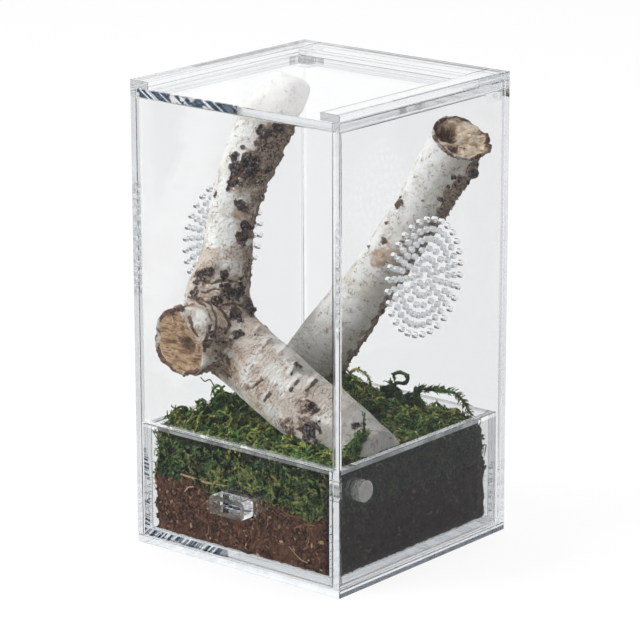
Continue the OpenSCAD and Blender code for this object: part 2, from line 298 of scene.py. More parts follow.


# %% Painted dark reflections in a cut edge
def edge_streaks():
    tree, given, out = new_group(
        "edge_streaks",
        [("Low", "NodeSocketVector", (0, 0, 0)), ("High", "NodeSocketVector", (0, 0, 0)),
         ("Slant", "NodeSocketVector", (0, 0, 0)), ("Streak", "NodeSocketFloat", 1.0),
         ("Share", "NodeSocketFloat", 0.57), ("Whole", "NodeSocketFloat", 0.0), ("Deep", "NodeSocketColor", (0.0006, 0.002, 0.006, 1)),
         ("Pale", "NodeSocketColor", (0.014, 0.034, 0.070, 1))],
        [("Dark", "NodeSocketFloat"), ("Colour", "NodeSocketColor")],
    )
    at = put(tree, "ShaderNodeTexCoord").outputs["Object"]
    above = put(tree, "ShaderNodeVectorMath", {0: at, 1: given["Low"]}, operation="SUBTRACT").outputs[0]
    below = put(tree, "ShaderNodeVectorMath", {0: given["High"], 1: at}, operation="SUBTRACT").outputs[0]
    least = put(tree, "ShaderNodeVectorMath", {0: above, 1: below}, operation="MINIMUM").outputs[0]
    parts = put(tree, "ShaderNodeSeparateXYZ", {0: least}).outputs
    inside = calc(tree, "MINIMUM", calc(tree, "MINIMUM", parts[0], parts[1]), parts[2])
    inside = between(tree, inside, 0.0, 0.0002)
    along = put(tree, "ShaderNodeVectorMath", {0: at, 1: given["Slant"]}, operation="DOT_PRODUCT").outputs["Value"]
    line = put(tree, "ShaderNodeTexNoise", {
        "W": calc(tree, "DIVIDE", along, given["Streak"]), "Scale": 1.0, "Detail": 2.0, "Roughness": 0.6,
    }, noise_dimensions="1D").outputs[0]
    broken = between(tree, noise(tree, at, 0.006, 2.0), 0.34, 0.42)
    line = calc(tree, "SUBTRACT", line, given["Share"])
    dark = calc(tree, "MULTIPLY", inside, between(tree, line, 0.0, 0.05, 1.0, 0.0))
    dark = calc(tree, "MULTIPLY", dark, calc(tree, "MAXIMUM", broken, given["Whole"]))
    colour = tint(tree, noise(tree, at, 0.0015, 2.0), given["Deep"], given["Pale"])
    tree.links.new(dark, out.inputs["Dark"])
    tree.links.new(colour, out.inputs["Colour"])
    return tree


painted_reflections_group = edge_streaks()


# %% Cemented joints
def cemented_joints():
    """1 on the faces where two sheets are cemented together: no air is left there to mirror light."""
    tree, given, out = new_group("cemented_joints", [], [("Joint", "NodeSocketFloat")])
    at = put(tree, "ShaderNodeSeparateXYZ", {0: put(tree, "ShaderNodeTexCoord").outputs["Object"]}).outputs
    at = put(tree, "ShaderNodeCombineXYZ", {0: calc(tree, "ABSOLUTE", at[0]), 1: at[1], 2: at[2]}).outputs[0]
    side, rear = (46.9, -50.1), (-1, 46.9)
    boxes = [((*xy, z - 0.04), (50.1, 50.1, z + 0.04)) for z in (3.025, 173.575, 176.975) for xy in (side, rear)]
    boxes += [
        ((46.9, 46.94, 3), (50.1, 47.01, 177)), ((46.94, -50.1, 48.3), (47.01, -46.99, 173.7)),
        ((40.94, 35.9, 177), (41.01, 50.1, 180.1)), ((43.5, -47.01, 3.3), (46.7, -46.94, 48.1)),
        ((-1, -47.01, 3.3), (43.6, -46.94, 6.45)), ((43.54, -47, 3.3), (43.61, 43.6, 6.45)),
        ((43.54, 43.59, 3.3), (43.61, 46.7, 48.1)), ((-1, 43.54, 3.3), (43.6, 43.61, 6.45)),
        ((46.94, 37.4, 169.5), (47.01, 46.96, 173.6)), ((37.4, 46.94, 169.5), (46.96, 47.01, 173.6)),
        ((-1, -50.06, 21.8), (8.7, -49.99, 29.4)),
    ]
    joint = None
    for low, high in boxes:
        low, high = (tuple(v * MM for v in corner) for corner in (low, high))
        above = put(tree, "ShaderNodeVectorMath", {0: at, 1: low}, operation="SUBTRACT").outputs[0]
        below = put(tree, "ShaderNodeVectorMath", {0: high, 1: at}, operation="SUBTRACT").outputs[0]
        least = put(tree, "ShaderNodeVectorMath", {0: above, 1: below}, operation="MINIMUM").outputs[0]
        parts = put(tree, "ShaderNodeSeparateXYZ", {0: least}).outputs
        depth = calc(tree, "MINIMUM", calc(tree, "MINIMUM", parts[0], parts[1]), parts[2])
        joint = depth if joint is None else calc(tree, "MAXIMUM", joint, depth)
    tree.links.new(calc(tree, "GREATER_THAN", joint, 0.0), out.inputs["Joint"])
    return tree


joints_group = cemented_joints()


# %% Painted glow at an edge, standing in for light piped along the sheet
def edge_light():
    tree, given, out = new_group(
        "edge_light",
        [("Low", "NodeSocketVector", (0, 0, 0)), ("High", "NodeSocketVector", (0, 0, 0)),
         ("Strength", "NodeSocketFloat", 0.3)],
        [("Light", "NodeSocketColor")],
    )
    at = put(tree, "ShaderNodeTexCoord").outputs["Object"]
    above = put(tree, "ShaderNodeVectorMath", {0: at, 1: given["Low"]}, operation="SUBTRACT").outputs[0]
    below = put(tree, "ShaderNodeVectorMath", {0: given["High"], 1: at}, operation="SUBTRACT").outputs[0]
    least = put(tree, "ShaderNodeVectorMath", {0: above, 1: below}, operation="MINIMUM").outputs[0]
    parts = put(tree, "ShaderNodeSeparateXYZ", {0: least}).outputs
    inside = calc(tree, "MINIMUM", calc(tree, "MINIMUM", parts[0], parts[1]), parts[2])
    inside = between(tree, inside, 0.0, 0.00025)
    uneven = between(tree, noise(tree, at, 0.009, 3.0), 0.40, 0.62, 0.5, 1.0)
    power = calc(tree, "MULTIPLY", calc(tree, "MULTIPLY", inside, uneven), given["Strength"])
    light = tint(tree, power, (0, 0, 0), (0.86, 0.90, 0.94))
    tree.links.new(light, out.inputs["Light"])
    return tree


edge_light_group = edge_light()


# %% Clear sheet in three directions
def clear_sheet(name, axis, face=(0.972, 0.978, 0.982), cut=(0.955, 0.965, 0.975), streaks=(), lit=()):
    """Clear sheet whose flat faces look along this axis, with painted dark reflections and a painted glow on the
    margins in these boxes.
    """
    material, tree, out = new_material(name)
    marks = put(tree, "ShaderNodeGroup", node_tree=marks_group)
    marks.inputs["Axis"].default_value = axis
    marks = marks.outputs
    relief = put(tree, "ShaderNodeBump", {"Height": marks["Height"], "Strength": 0.006, "Distance": 0.00003})
    colour = tint(tree, marks["Cut Edge"], face, cut)
    colour = tint(tree, marks["Frost"], colour, (0.80, 0.82, 0.84))
    # Each streak box paints dark reflections into its cut edge.
    for settings in streaks:
        streak = put(tree, "ShaderNodeGroup", node_tree=painted_reflections_group)
        for title, value in settings.items():
            streak.inputs[title].default_value = value
        colour = tint(tree, streak.outputs["Dark"], colour, streak.outputs["Colour"])
    solid = put(tree, "ShaderNodeBsdfPrincipled", {
        "Base Color": colour,
        "Roughness": marks["Roughness"],
        "IOR": 1.49,
        "Transmission Weight": 1.0,
        "Normal": relief.outputs[0],
    })
    # Painted glow: the frosted walls of the air holes give off a faint light.
    light = tint(tree, calc(tree, "MULTIPLY", marks["Frost"], 0.07), (0, 0, 0), (0.9, 0.94, 1.0))
    # Each lit box paints a glow: an emission on that margin, standing in for light piped along the sheet.
    for box in lit:
        margin = put(tree, "ShaderNodeGroup", node_tree=edge_light_group)
        for title, value in zip(("Low", "High", "Strength"), box):
            margin.inputs[title].default_value = value
        light = tint(tree, 1.0, light, margin.outputs["Light"], "ADD")
    tree.links.new(light, solid.inputs["Emission Color"])
    solid.inputs["Emission Strength"].default_value = 1.0
    through = put(tree, "ShaderNodeBsdfTransparent", {"Color": (0.96, 0.965, 0.97)})
    path = put(tree, "ShaderNodeLightPath").outputs
    lamp_light = calc(tree, "MAXIMUM", path["Is Shadow Ray"], path["Is Diffuse Ray"])
    joint = put(tree, "ShaderNodeGroup", node_tree=joints_group).outputs["Joint"]
    lamp_light = calc(tree, "MAXIMUM", lamp_light, joint)
    both = put(tree, "ShaderNodeMixShader", {0: lamp_light, 1: solid.outputs[0], 2: through.outputs[0]})
    tree.links.new(both.outputs[0], out.inputs["Surface"])
    return material


# The lit boxes below are painted glow: on the pull's rim and side, the near edge, the base's front edge, the back
# wall's left edge, and the rims of the front panel, drawer front and drawer sides.
# The pull is polished all round: along (1, 1, 1) each of its flat sides counts as a face.
polished = clear_sheet(
    "clear_sheet_pull", (1, 1, 1), (0.975, 0.98, 0.985), (0.93, 0.94, 0.95),
    lit=[((-0.0087, -0.0555, 0.0218), (0.0087, -0.0551, 0.0294), 0.16),
         ((0.0070, -0.0553, 0.0218), (0.0087, -0.0500, 0.0294), 0.45)])
upright_x = clear_sheet(
    "clear_sheet_side", (1, 0, 0), lit=[((0.0470, -0.0502, 0.0480), (0.0502, -0.0498, 0.1736), 0.16)])
upright_y = clear_sheet("clear_sheet_front", (0, 1, 0))
level = clear_sheet("clear_sheet_level", (0, 0, 1))
# Painted dark reflections: a dark band low along the base plate's right edge, navy streaks in the lid's front edge, and
# dark bars along the bottom and left edge of the drawer front.
base_sheet = clear_sheet("clear_sheet_base", (0, 0, 1), cut=(0.90, 0.935, 0.96), streaks=[
    dict(Low=(0.0496, -0.0504, -0.0003), High=(0.0504, 0.0504, 0.0020),
         Whole=1.0, Deep=(0.035, 0.040, 0.052, 1), Pale=(0.075, 0.083, 0.10, 1)),
], lit=[((-0.0502, -0.0502, -0.0003), (0.0502, -0.0498, 0.0030), 0.20)])
lid_sheet = clear_sheet("clear_sheet_lid", (0, 0, 1), streaks=[
    dict(Low=(-0.060, -0.052, 0.17), High=(0.0025, -0.0485, 0.18), Slant=(1.0, 0.0, 1.6), Streak=0.0030, Share=0.55),
])
back_sheet = clear_sheet(
    "clear_sheet_back", (0, 1, 0), lit=[((-0.0502, 0.0498, 0.003), (-0.0467, 0.0502, 0.174), 0.14)])
panel_sheet = clear_sheet(
    "clear_sheet_panel", (0, 1, 0), lit=[((-0.046, -0.0502, 0.0483), (0.0475, -0.0499, 0.0500), 0.50)])
drawer_face_sheet = clear_sheet("clear_sheet_drawer_face", (0, 1, 0), streaks=[
    dict(Low=(-0.0464, -0.0502, 0.0032), High=(-0.004, -0.0468, 0.0066), Slant=(1.0, 0.0, -1.0), Streak=0.0017, Share=0.49),
    dict(Low=(-0.0462, -0.0502, 0.0075), High=(-0.0434, -0.0468, 0.0385), Slant=(0.12, 0.0, 1.0), Streak=0.0008, Share=0.49),
], lit=[((-0.047, -0.0502, 0.0466), (0.047, -0.0499, 0.0479), 0.85)])
drawer_side_sheet = clear_sheet(
    "clear_sheet_drawer_side", (1, 0, 0), lit=[((0.0464, -0.047, 0.0462), (0.0468, 0.047, 0.0481), 0.38)])


def finish_with(material, *names):
    """Gives CAD nodes this material in place of their plain one."""
    for name in names:
        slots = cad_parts[name].material_slots
        for slot in slots:
            slot.material = material


finish_with(upright_x, "left_wall", "right_wall", "left_spacer", "right_spacer")
finish_with(drawer_side_sheet, "drawer_left_side", "drawer_right_side")
finish_with(back_sheet, "back_wall")
finish_with(upright_y, "rear_spacer", "drawer_back")
finish_with(panel_sheet, "front_panel")
finish_with(drawer_face_sheet, "drawer_front")
finish_with(polished, "drawer_pull")
finish_with(level, "left_rail", "right_rail", "rear_rail", "corner_block", "drawer_bottom")
finish_with(base_sheet, "base_plate")
finish_with(lid_sheet, "lid")

# %% [markdown]
# ## Magnets
# Disc magnets are plated with nickel. The plating is bright but never a perfect mirror: it has
# fine rubbed scratches and small dull spots where hands have touched it.


# %% Bright plating
def plated_metal():
    material, tree, out = new_material("bright_nickel")
    at = put(tree, "ShaderNodeTexCoord").outputs["Object"]
    rubbed = noise(tree, stretch(tree, at, 1, 1, 9), 0.0006, 3.0)
    dull = noise(tree, at, 0.002, 3.0)
    colour = tint(tree, between(tree, dull, 0.35, 0.7), (0.97, 0.96, 0.93), (0.84, 0.83, 0.80))
    rough = calc(tree, "ADD", between(tree, rubbed, 0.3, 0.7, 0.36, 0.48), calc(tree, "MULTIPLY", dull, 0.12))
    relief = put(tree, "ShaderNodeBump", {"Height": rubbed, "Strength": 0.2, "Distance": 0.00002})
    metal = put(tree, "ShaderNodeBsdfPrincipled", {
        "Base Color": colour, "Metallic": 1.0, "Roughness": rough, "Normal": relief.outputs[0],
    })
    tree.links.new(metal.outputs[0], out.inputs["Surface"])
    return material


finish_with(plated_metal(), "wall_magnet", "drawer_magnet", "corner_magnet", "lid_magnet")
print("clear sheet and magnets finished")

# %% [markdown]
# ## Shaping by numbers
# Bark, soil and moss have no plain shape, so their points are moved by noise. This noise gives each
# corner of a grid a fixed random height and blends between the corners. It gives the same numbers
# on each run, because nothing in it is drawn at random.


# %% Noise for shaping, and meshes from arrays
def lumps(points, size, seed):
    """Smooth heights from -1 to 1 at these points, with lumps about that wide."""
    place = points / size + seed * 17.13
    cell = np.floor(place)
    part = place - cell
    part = part * part * (3 - 2 * part)
    total = np.zeros(len(points))
    for corner in np.ndindex(2, 2, 2):
        key = np.sin((cell + corner) @ (127.1, 311.7, 74.7) + seed * 3.77) * 43758.5453
        weight = np.prod(np.where(corner, part, 1 - part), axis=1)
        total += weight * (key - np.floor(key))
    return total * 2 - 1


def smooth_step(value, low, high):
    share = np.clip((value - low) / (high - low), 0, 1)
    return share * share * (3 - 2 * share)


def as_mesh(name, points_mm, faces):
    mesh = bpy.data.meshes.new(name)
    mesh.from_pydata((np.asarray(points_mm) * MM).tolist(), [], [tuple(f) for f in faces])
    mesh.update()
    return mesh


def points_of(mesh):
    """The mesh's points, in millimetres."""
    flat = np.empty(len(mesh.vertices) * 3, np.float32)
    mesh.vertices.foreach_get("co", flat)
    return flat.reshape(-1, 3).astype(float) / MM


def set_points(mesh, points_mm):
    mesh.vertices.foreach_set("co", (points_mm * MM).astype(np.float32).ravel())
    mesh.update()


def normals_of(mesh):
    flat = np.empty(len(mesh.vertices) * 3, np.float32)
    mesh.vertex_normals.foreach_get("vector", flat)
    return flat.reshape(-1, 3).astype(float)


def write_mask(mesh, name, values):
    mesh.attributes.new(name, "FLOAT", "POINT").data.foreach_set("value", values.astype(np.float32))


def add_piece(name, mesh, material):
    mesh.name = name
    mesh.materials.clear()
    mesh.materials.append(material)
    made = bpy.data.objects.new(name, mesh)
    scene.collection.objects.link(made)
    print(f"{name}: {len(mesh.vertices)} points, {len(mesh.polygons)} faces")
    return made


# %% [markdown]
# ## Branches
# A branch is drawn as a line of stations, each with a place and a radius, as a wood turner would
# measure it. A round skin is laid over the line, the limbs are fused by a voxel remesh, and the
# sawn ends are flat because the skin stops at the saw's plane.


# %% Lay a skin over a line
def course(stations, step=0.7):
    """A smooth line through the stations (x, y, z, radius), a point each step."""
    ends = np.asarray(stations, float)
    ends = np.vstack([2 * ends[0] - ends[1], ends, 2 * ends[-1] - ends[-2]])
    line = []
    for a, b, c, d in zip(ends, ends[1:], ends[2:], ends[3:]):
        for t in np.arange(0, 1, step / np.linalg.norm((c - b)[:3])):
            line.append(
                0.5 * (2 * b + (c - a) * t + (2 * a - 5 * b + 4 * c - d) * t**2 + (3 * b - a - 3 * c + d) * t**3)
            )
    return np.array(line + [ends[-2]])


def frames_along(middle):
    """The way the line goes at each point, and two directions square to it that don't twist."""
    way = np.gradient(middle, axis=0)
    way /= np.linalg.norm(way, axis=1)[:, None]
    side = np.empty_like(way)
    start = np.cross(way[0], (0.2, 0.9, 0.3))
    for i, forward in enumerate(way):
        start = start - forward * (start @ forward)
        start /= np.linalg.norm(start)
        side[i] = start
    return way, side, np.cross(way, side)


def skin(stations, saws, sides=56):
    """A closed round skin over the line, stopped at each saw plane (point, outward direction)."""
    line = course(stations)
    way, side, up = frames_along(line[:, :3])
    # Each end is closed by rings that shrink towards the middle, so that a slanting cut comes out flat.
    shares = np.linspace(0.92, 0.04, 10)
    head, tail = np.repeat(line[:1], len(shares), 0), np.repeat(line[-1:], len(shares), 0)
    head[:, 3] *= shares[::-1]
    tail[:, 3] *= shares
    line = np.vstack([head, line, tail])
    way, side, up = [np.pad(a, ((len(shares), len(shares)), (0, 0)), mode="edge") for a in (way, side, up)]
    turns = np.arange(sides) * 2 * np.pi / sides
    round_about = np.cos(turns)[None, :, None] * side[:, None] + np.sin(turns)[None, :, None] * up[:, None]
    rings = line[:, None, :3] + line[:, None, 3:] * round_about
    for point, out in saws:
        over = np.maximum((rings - np.array(point)) @ np.array(out), 0)
        rings = rings - over[..., None] * (way / (way @ np.array(out))[:, None])[:, None]
    count = len(rings)
    points = np.vstack([rings.reshape(-1, 3), rings[0].mean(0), rings[-1].mean(0)])
    faces = []
    for i in range(count - 1):
        for k in range(sides):
            n = (k + 1) % sides
            faces.append((i * sides + k, i * sides + n, (i + 1) * sides + n, (i + 1) * sides + k))
    for k in range(sides):
        n = (k + 1) % sides
        faces.append((n, k, count * sides))
        faces.append(((count - 1) * sides + k, (count - 1) * sides + n, count * sides + 1))
    return points, faces


def fuse(name, skins, voxel):
    """One closed mesh round all the skins."""
    points, faces, base = [], [], 0
    for p, f in skins:
        points.append(p)
        faces += [tuple(i + base for i in face) for face in f]
        base += len(p)
    raw = bpy.data.objects.new(name + "_raw", as_mesh(name + "_raw", np.vstack(points), faces))
    scene.collection.objects.link(raw)
    remesh = raw.modifiers.new("fuse", "REMESH")
    remesh.mode = "VOXEL"
    remesh.voxel_size = voxel * MM
    soften = raw.modifiers.new("soften", "SMOOTH")
    soften.iterations = 3
    mesh = bpy.data.meshes.new_from_object(raw.evaluated_get(bpy.context.evaluated_depsgraph_get()))
    bpy.data.objects.remove(raw)
    return mesh


# %% [markdown]
# ### Bark that runs with the wood
# Bark marks run round a limb, not along the world's axes. So each point of the skin is also told
# where it would be if its limb were pulled straight. The noise and the dashes of the bark read that
# place, and they bend with the limb.


# %% Find each point's place on its limb
def along_limbs(points, limbs):
    """For each point: its straightened place, outward direction, height up the limb, share of the radius."""
    best = np.full(len(points), np.inf)
    bark_at = np.zeros((len(points), 3))
    outward = np.zeros((len(points), 3))
    reach = np.zeros(len(points))
    for number, stations in enumerate(limbs):
        line = course(stations, 1.0)
        way, side, up = frames_along(line[:, :3])
        length = np.concatenate([[0], np.cumsum(np.linalg.norm(np.diff(line[:, :3], axis=0), axis=1))])
        near = np.empty(len(points), int)
        for lo in range(0, len(points), 8000):
            gap = points[lo:lo + 8000, None] - line[None, :, :3]
            near[lo:lo + 8000] = ((gap**2).sum(2)).argmin(1)
        off = points - line[near, :3]
        ahead = (off * way[near]).sum(1)
        radial = off - ahead[:, None] * way[near]
        far = np.linalg.norm(radial, axis=1)
        share = far / line[near, 3]
        mine = share < best
        unit = radial / np.maximum(far, 1e-6)[:, None]
        flat = np.stack([(unit * side[near]).sum(1), (unit * up[near]).sum(1)], 1) * line[near, 3:]
        here = np.column_stack([flat, length[near] + ahead + 300 * number])
        bark_at[mine], outward[mine], reach[mine] = here[mine], unit[mine], share[mine]
        best = np.minimum(best, share)
    return bark_at, outward, reach


def patches(points, spots, seed, grain=2.2, ragged=0.34):
    """1 inside the spots (x, y, z, radius), 0 outside, with a ragged edge; each sits on its nearest point."""
    rough = ragged * (lumps(points, grain, seed) + 0.5 * lumps(points, grain / 2.6, seed + 1))
    inside = np.zeros(len(points))
    for x, y, z, radius in spots:
        middle = points[((points - (x, y, z)) ** 2).sum(1).argmin()]
        gap = np.linalg.norm(points - middle, axis=1) / radius + rough
        inside = np.maximum(inside, 1 - smooth_step(gap, 0.86, 1.12))
    return inside


# %% [markdown]
# ### What birch bark is made of
# White birch bark is thin paper over brown inner bark. Short dark dashes, the pores it breathes
# through, cross it sideways. Where the paper is torn the brown shows, and old knots heal into
# black, crumbly scars. The masks for the large marks are on the mesh; nodes add all fine detail.


# %% Birch bark
def birch_bark():
    material, tree, out = new_material("birch_bark")

    def mask(name):
        return put(tree, "ShaderNodeAttribute", attribute_name=name).outputs["Fac"]

    def ragged(value, much, low, high):
        """The mask with its edge broken up by fine and small noise."""
        wear = calc(tree, "ADD", calc(tree, "MULTIPLY", fine, 0.6), calc(tree, "MULTIPLY", small, 0.4))
        wear = calc(tree, "MULTIPLY", calc(tree, "SUBTRACT", wear, 0.5), much * 0.6)
        return between(tree, calc(tree, "ADD", value, wear), low, high)

    at = put(tree, "ShaderNodeAttribute", attribute_name="bark_at").outputs["Vector"]
    fine = between(tree, noise(tree, at, 0.0010, 4.0, 0.65), 0.34, 0.66)
    small = between(tree, noise(tree, at, 0.0036, 4.0, 0.6), 0.32, 0.68)
    broad = noise(tree, at, 0.016, 3.0)
    bands = noise(tree, stretch(tree, at, 1, 1, 7), 0.006, 4.0, 0.6)
    creases = noise(tree, stretch(tree, at, 1, 1, 9), 0.0042, 3.0, 0.6)
    # Layers of bark, like the leaves of a book, read from the mesh: a tone for each, a dark line between.
    layer = mask("layer")
    page = put(tree, "ShaderNodeTexWhiteNoise", {"W": calc(tree, "FLOOR", layer)}, noise_dimensions="1D").outputs[0]
    edge = calc(tree, "ABSOLUTE", calc(tree, "SUBTRACT", calc(tree, "FRACT", layer), 0.5))
    line = between(tree, calc(tree, "ADD", edge, calc(tree, "MULTIPLY", fine, 0.16)), 0.47, 0.57)
    line = calc(tree, "MULTIPLY", line, between(tree, small, 0.30, 0.62, 0.1, 1.0))
    paper = tint(tree, between(tree, broad, 0.38, 0.62), (0.72, 0.695, 0.63), (0.84, 0.83, 0.79))
    paper = tint(tree, between(tree, small, 0.60, 1.0, 0, 0.6), paper, (0.62, 0.57, 0.49))
    worn_at = noise(tree, stretch(tree, at, 1, 1, 1.6), 0.011, 4.0, 0.6)
    worn = between(tree, calc(tree, "ADD", worn_at, calc(tree, "MULTIPLY", mask("weathered"), 0.10)), 0.47, 0.68)
    worn = calc(tree, "MULTIPLY", worn, between(tree, mask("weathered"), 0.0, 1.0, 0.22, 0.9))
    paper = tint(tree, worn, paper, tint(tree, fine, (0.54, 0.445, 0.38), (0.74, 0.65, 0.57)))
    paper = tint(tree, between(tree, bands, 0.57, 0.66, 0, 0.5), paper, (0.48, 0.43, 0.36))
    paper = tint(tree, between(tree, creases, 0.62, 0.72, 0, 0.5), paper, (0.36, 0.28, 0.22))
    strong = calc(tree, "ADD", calc(tree, "MULTIPLY", mask("weathered"), 0.85), calc(tree, "MULTIPLY", mask("swirl"), 0.95))
    strong = calc(tree, "ADD", strong, calc(tree, "MULTIPLY", mask("tan"), 0.8))
    paper = tint(tree, calc(tree, "MULTIPLY", line, strong, clamp=True), paper, (0.15, 0.105, 0.085))
    pale = between(tree, small, 0.75, 0.35, 0.55, 0.92)
    paper = tint(tree, calc(tree, "MULTIPLY", mask("bleached"), pale), paper, (0.88, 0.88, 0.855))
    paper = tint(tree, calc(tree, "MULTIPLY", mask("tan"), between(tree, small, 0.1, 0.8, 0.25, 0.95)), paper,
                 tint(tree, fine, (0.34, 0.25, 0.18), (0.68, 0.56, 0.44)))
    paper = tint(tree, calc(tree, "MULTIPLY", line, calc(tree, "MULTIPLY", mask("tan"), 0.8)), paper, (0.11, 0.075, 0.06))
    # Painted shade: the dull patches darken the bark where it lies in shade, on the lower limb towards the right wall
    # and at the straight branch's foot.
    paper = tint(tree, calc(tree, "MULTIPLY", mask("dull"), 0.55), paper, (0.36, 0.355, 0.34))
    # Pores: cells wide round the limb and short along it, most of them left empty.
    pores = put(tree, "ShaderNodeTexVoronoi", {
        "Vector": stretch(tree, at, 125, 125, 430), "Scale": 1.0, "Randomness": 1.0,
    }).outputs
    kept = between(tree, put(tree, "ShaderNodeSeparateColor", {0: pores["Color"]}).outputs[0], 0.60, 0.63)
    size = calc(tree, "MULTIPLY", fine, 0.07)
    pore = calc(tree, "MULTIPLY", kept, between(tree, calc(tree, "ADD", pores["Distance"], size), 0.19, 0.08))
    paper = tint(tree, calc(tree, "MULTIPLY", pore, 0.9), paper, (0.125, 0.085, 0.065))
    speck = between(tree, noise(tree, at, 0.0013, 2.0, 0.5), 0.73, 0.77)
    paper = tint(tree, calc(tree, "MULTIPLY", speck, 0.75), paper, (0.20, 0.13, 0.09))
    # Inner bark: brown scales with cream crumbs of paper left on them.
    inner = tint(tree, between(tree, small, 0.15, 0.85), (0.22, 0.155, 0.125), (0.62, 0.49, 0.39))
    streaks = noise(tree, stretch(tree, at, 1, 1, 0.22), 0.0016, 4.0, 0.6)
    inner = tint(tree, between(tree, streaks, 0.40, 0.60, 0.75, 0.0), inner, (0.15, 0.10, 0.08))
    inner = tint(tree, calc(tree, "MULTIPLY", page, 0.40), inner, (0.54, 0.42, 0.32))
    inner = tint(tree, between(tree, bands, 0.50, 0.62, 0, 0.6), inner, (0.115, 0.072, 0.058))
    crumbs = calc(tree, "MULTIPLY", between(tree, fine, 0.60, 0.95), between(tree, broad, 0.40, 0.58, 0.35, 1.0))
    inner = tint(tree, crumbs, inner, (0.72, 0.62, 0.50))
    inner = tint(tree, between(tree, fine, 0.30, 0.05, 0, 0.9), inner, (0.035, 0.023, 0.020))
    inner = tint(tree, calc(tree, "MULTIPLY", line, 0.40), inner, (0.040, 0.026, 0.022))
    torn = ragged(mask("torn"), 1.5, 0.38, 0.60)
    near_torn = calc(tree, "ADD", calc(tree, "MULTIPLY", mask("torn"), 8), calc(tree, "MULTIPLY", mask("weathered"), 0.6))
    fringe = calc(tree, "MULTIPLY", ragged(mask("torn"), 1.8, 0.10, 0.34), between(tree, near_torn, 0, 1, 0, 0.65))
    colour = tint(tree, fringe, paper, tint(tree, fine, (0.36, 0.25, 0.18), (0.66, 0.54, 0.42)))
    colour = tint(tree, torn, colour, inner)
    rust = tint(tree, fine, (0.33, 0.17, 0.09), (0.74, 0.53, 0.37))
    colour = tint(tree, calc(tree, "MULTIPLY", ragged(mask("rust"), 1.6, 0.3, 0.9), 0.62), colour, rust)
    cleft = ragged(mask("crack"), 1.0, 0.35, 0.62)
    colour = tint(tree, calc(tree, "MULTIPLY", cleft, 0.88), colour, (0.12, 0.078, 0.06))
    # Healed knots: black and grey crumbs, a few of them red brown, in a thin ring of cracked bark.
    black = tint(tree, between(tree, fine, 0.2, 0.9), (0.022, 0.018, 0.019), (0.15, 0.125, 0.122))
    black = tint(tree, between(tree, small, 0.62, 0.9, 0, 0.75), black, (0.16, 0.09, 0.062))
    black = tint(tree, between(tree, fine, 0.90, 1.0, 0, 0.8), black, (0.42, 0.36, 0.33))
    ring = calc(tree, "SUBTRACT", ragged(mask("scar"), 1.1, 0.10, 0.30), ragged(mask("scar"), 1.1, 0.30, 0.5))
    colour = tint(tree, calc(tree, "MULTIPLY", ring, 0.7, clamp=True), colour, (0.24, 0.165, 0.12))
    scar = ragged(mask("scar"), 1.3, 0.38, 0.56)
    colour = tint(tree, scar, colour, black)
    # Sawn ends: pale wood with lines of fibre, darker in the hollows, in a ring of bark.
    object_at = put(tree, "ShaderNodeTexCoord").outputs["Object"]
    fibre = noise(tree, stretch(tree, object_at, 1, 1, 5.0), 0.0040, 4.0, 0.6)
    wood = tint(tree, between(tree, fibre, 0.36, 0.60), (0.25, 0.142, 0.078), (0.57, 0.395, 0.245))
    wood = tint(tree, between(tree, noise(tree, object_at, 0.005, 4.0, 0.6), 0.56, 0.70, 0, 0.8), wood, (0.15, 0.085, 0.055))
    wood = tint(tree, between(tree, fibre, 0.62, 0.68, 0, 0.9), wood, (0.060, 0.040, 0.030))
    wood = tint(tree, calc(tree, "MULTIPLY", mask("fresh"), between(tree, fibre, 0.62, 0.45, 0, 0.80)), wood, (0.92, 0.78, 0.60))
    wood = tint(tree, ragged(mask("hollow"), 1.6, 0.35, 0.75), wood, tint(tree, fine, (0.028, 0.017, 0.013), (0.30, 0.19, 0.13)))
    colour = tint(tree, mask("sawn"), colour, wood)
    whole = between(tree, noise(tree, object_at, 0.007, 3.0, 0.6), 0.37, 0.50, 0.30, 1.0)
    rim = calc(tree, "MULTIPLY", ragged(mask("rim"), 1.3, 0.35, 0.6), whole)
    colour = tint(tree, rim, colour, tint(tree, fine, (0.045, 0.022, 0.016), (0.24, 0.125, 0.082)))
    rough = calc(tree, "SUBTRACT", 0.82, calc(tree, "MULTIPLY", between(tree, broad, 0.4, 0.7), 0.22))
    height = calc(tree, "ADD", calc(tree, "MULTIPLY", fine, 0.8), calc(tree, "MULTIPLY", bands, 0.9))
    height = calc(tree, "SUBTRACT", height, calc(tree, "MULTIPLY", pore, 0.7))
    height = calc(tree, "SUBTRACT", height, calc(tree, "MULTIPLY", calc(tree, "MULTIPLY", line, torn), 0.9))
    relief = put(tree, "ShaderNodeBump", {"Height": height, "Strength": 0.7, "Distance": 0.0006})
    bark = put(tree, "ShaderNodeBsdfPrincipled", {
        "Base Color": colour, "Roughness": rough, "Specular IOR Level": 0.3, "Normal": relief.outputs[0],
    })
    tree.links.new(bark.outputs[0], out.inputs["Surface"])
    return material


bark_material = birch_bark()


# %% Marks along a line
def near_line(points, start, end):
    """Distance of each point from the straight line between two places."""
    start, end = np.array(start), np.array(end)
    way = end - start
    share = np.clip(((points - start) @ way) / (way @ way), 0, 1)
    return np.linalg.norm(points - start - share[:, None] * way, axis=1)


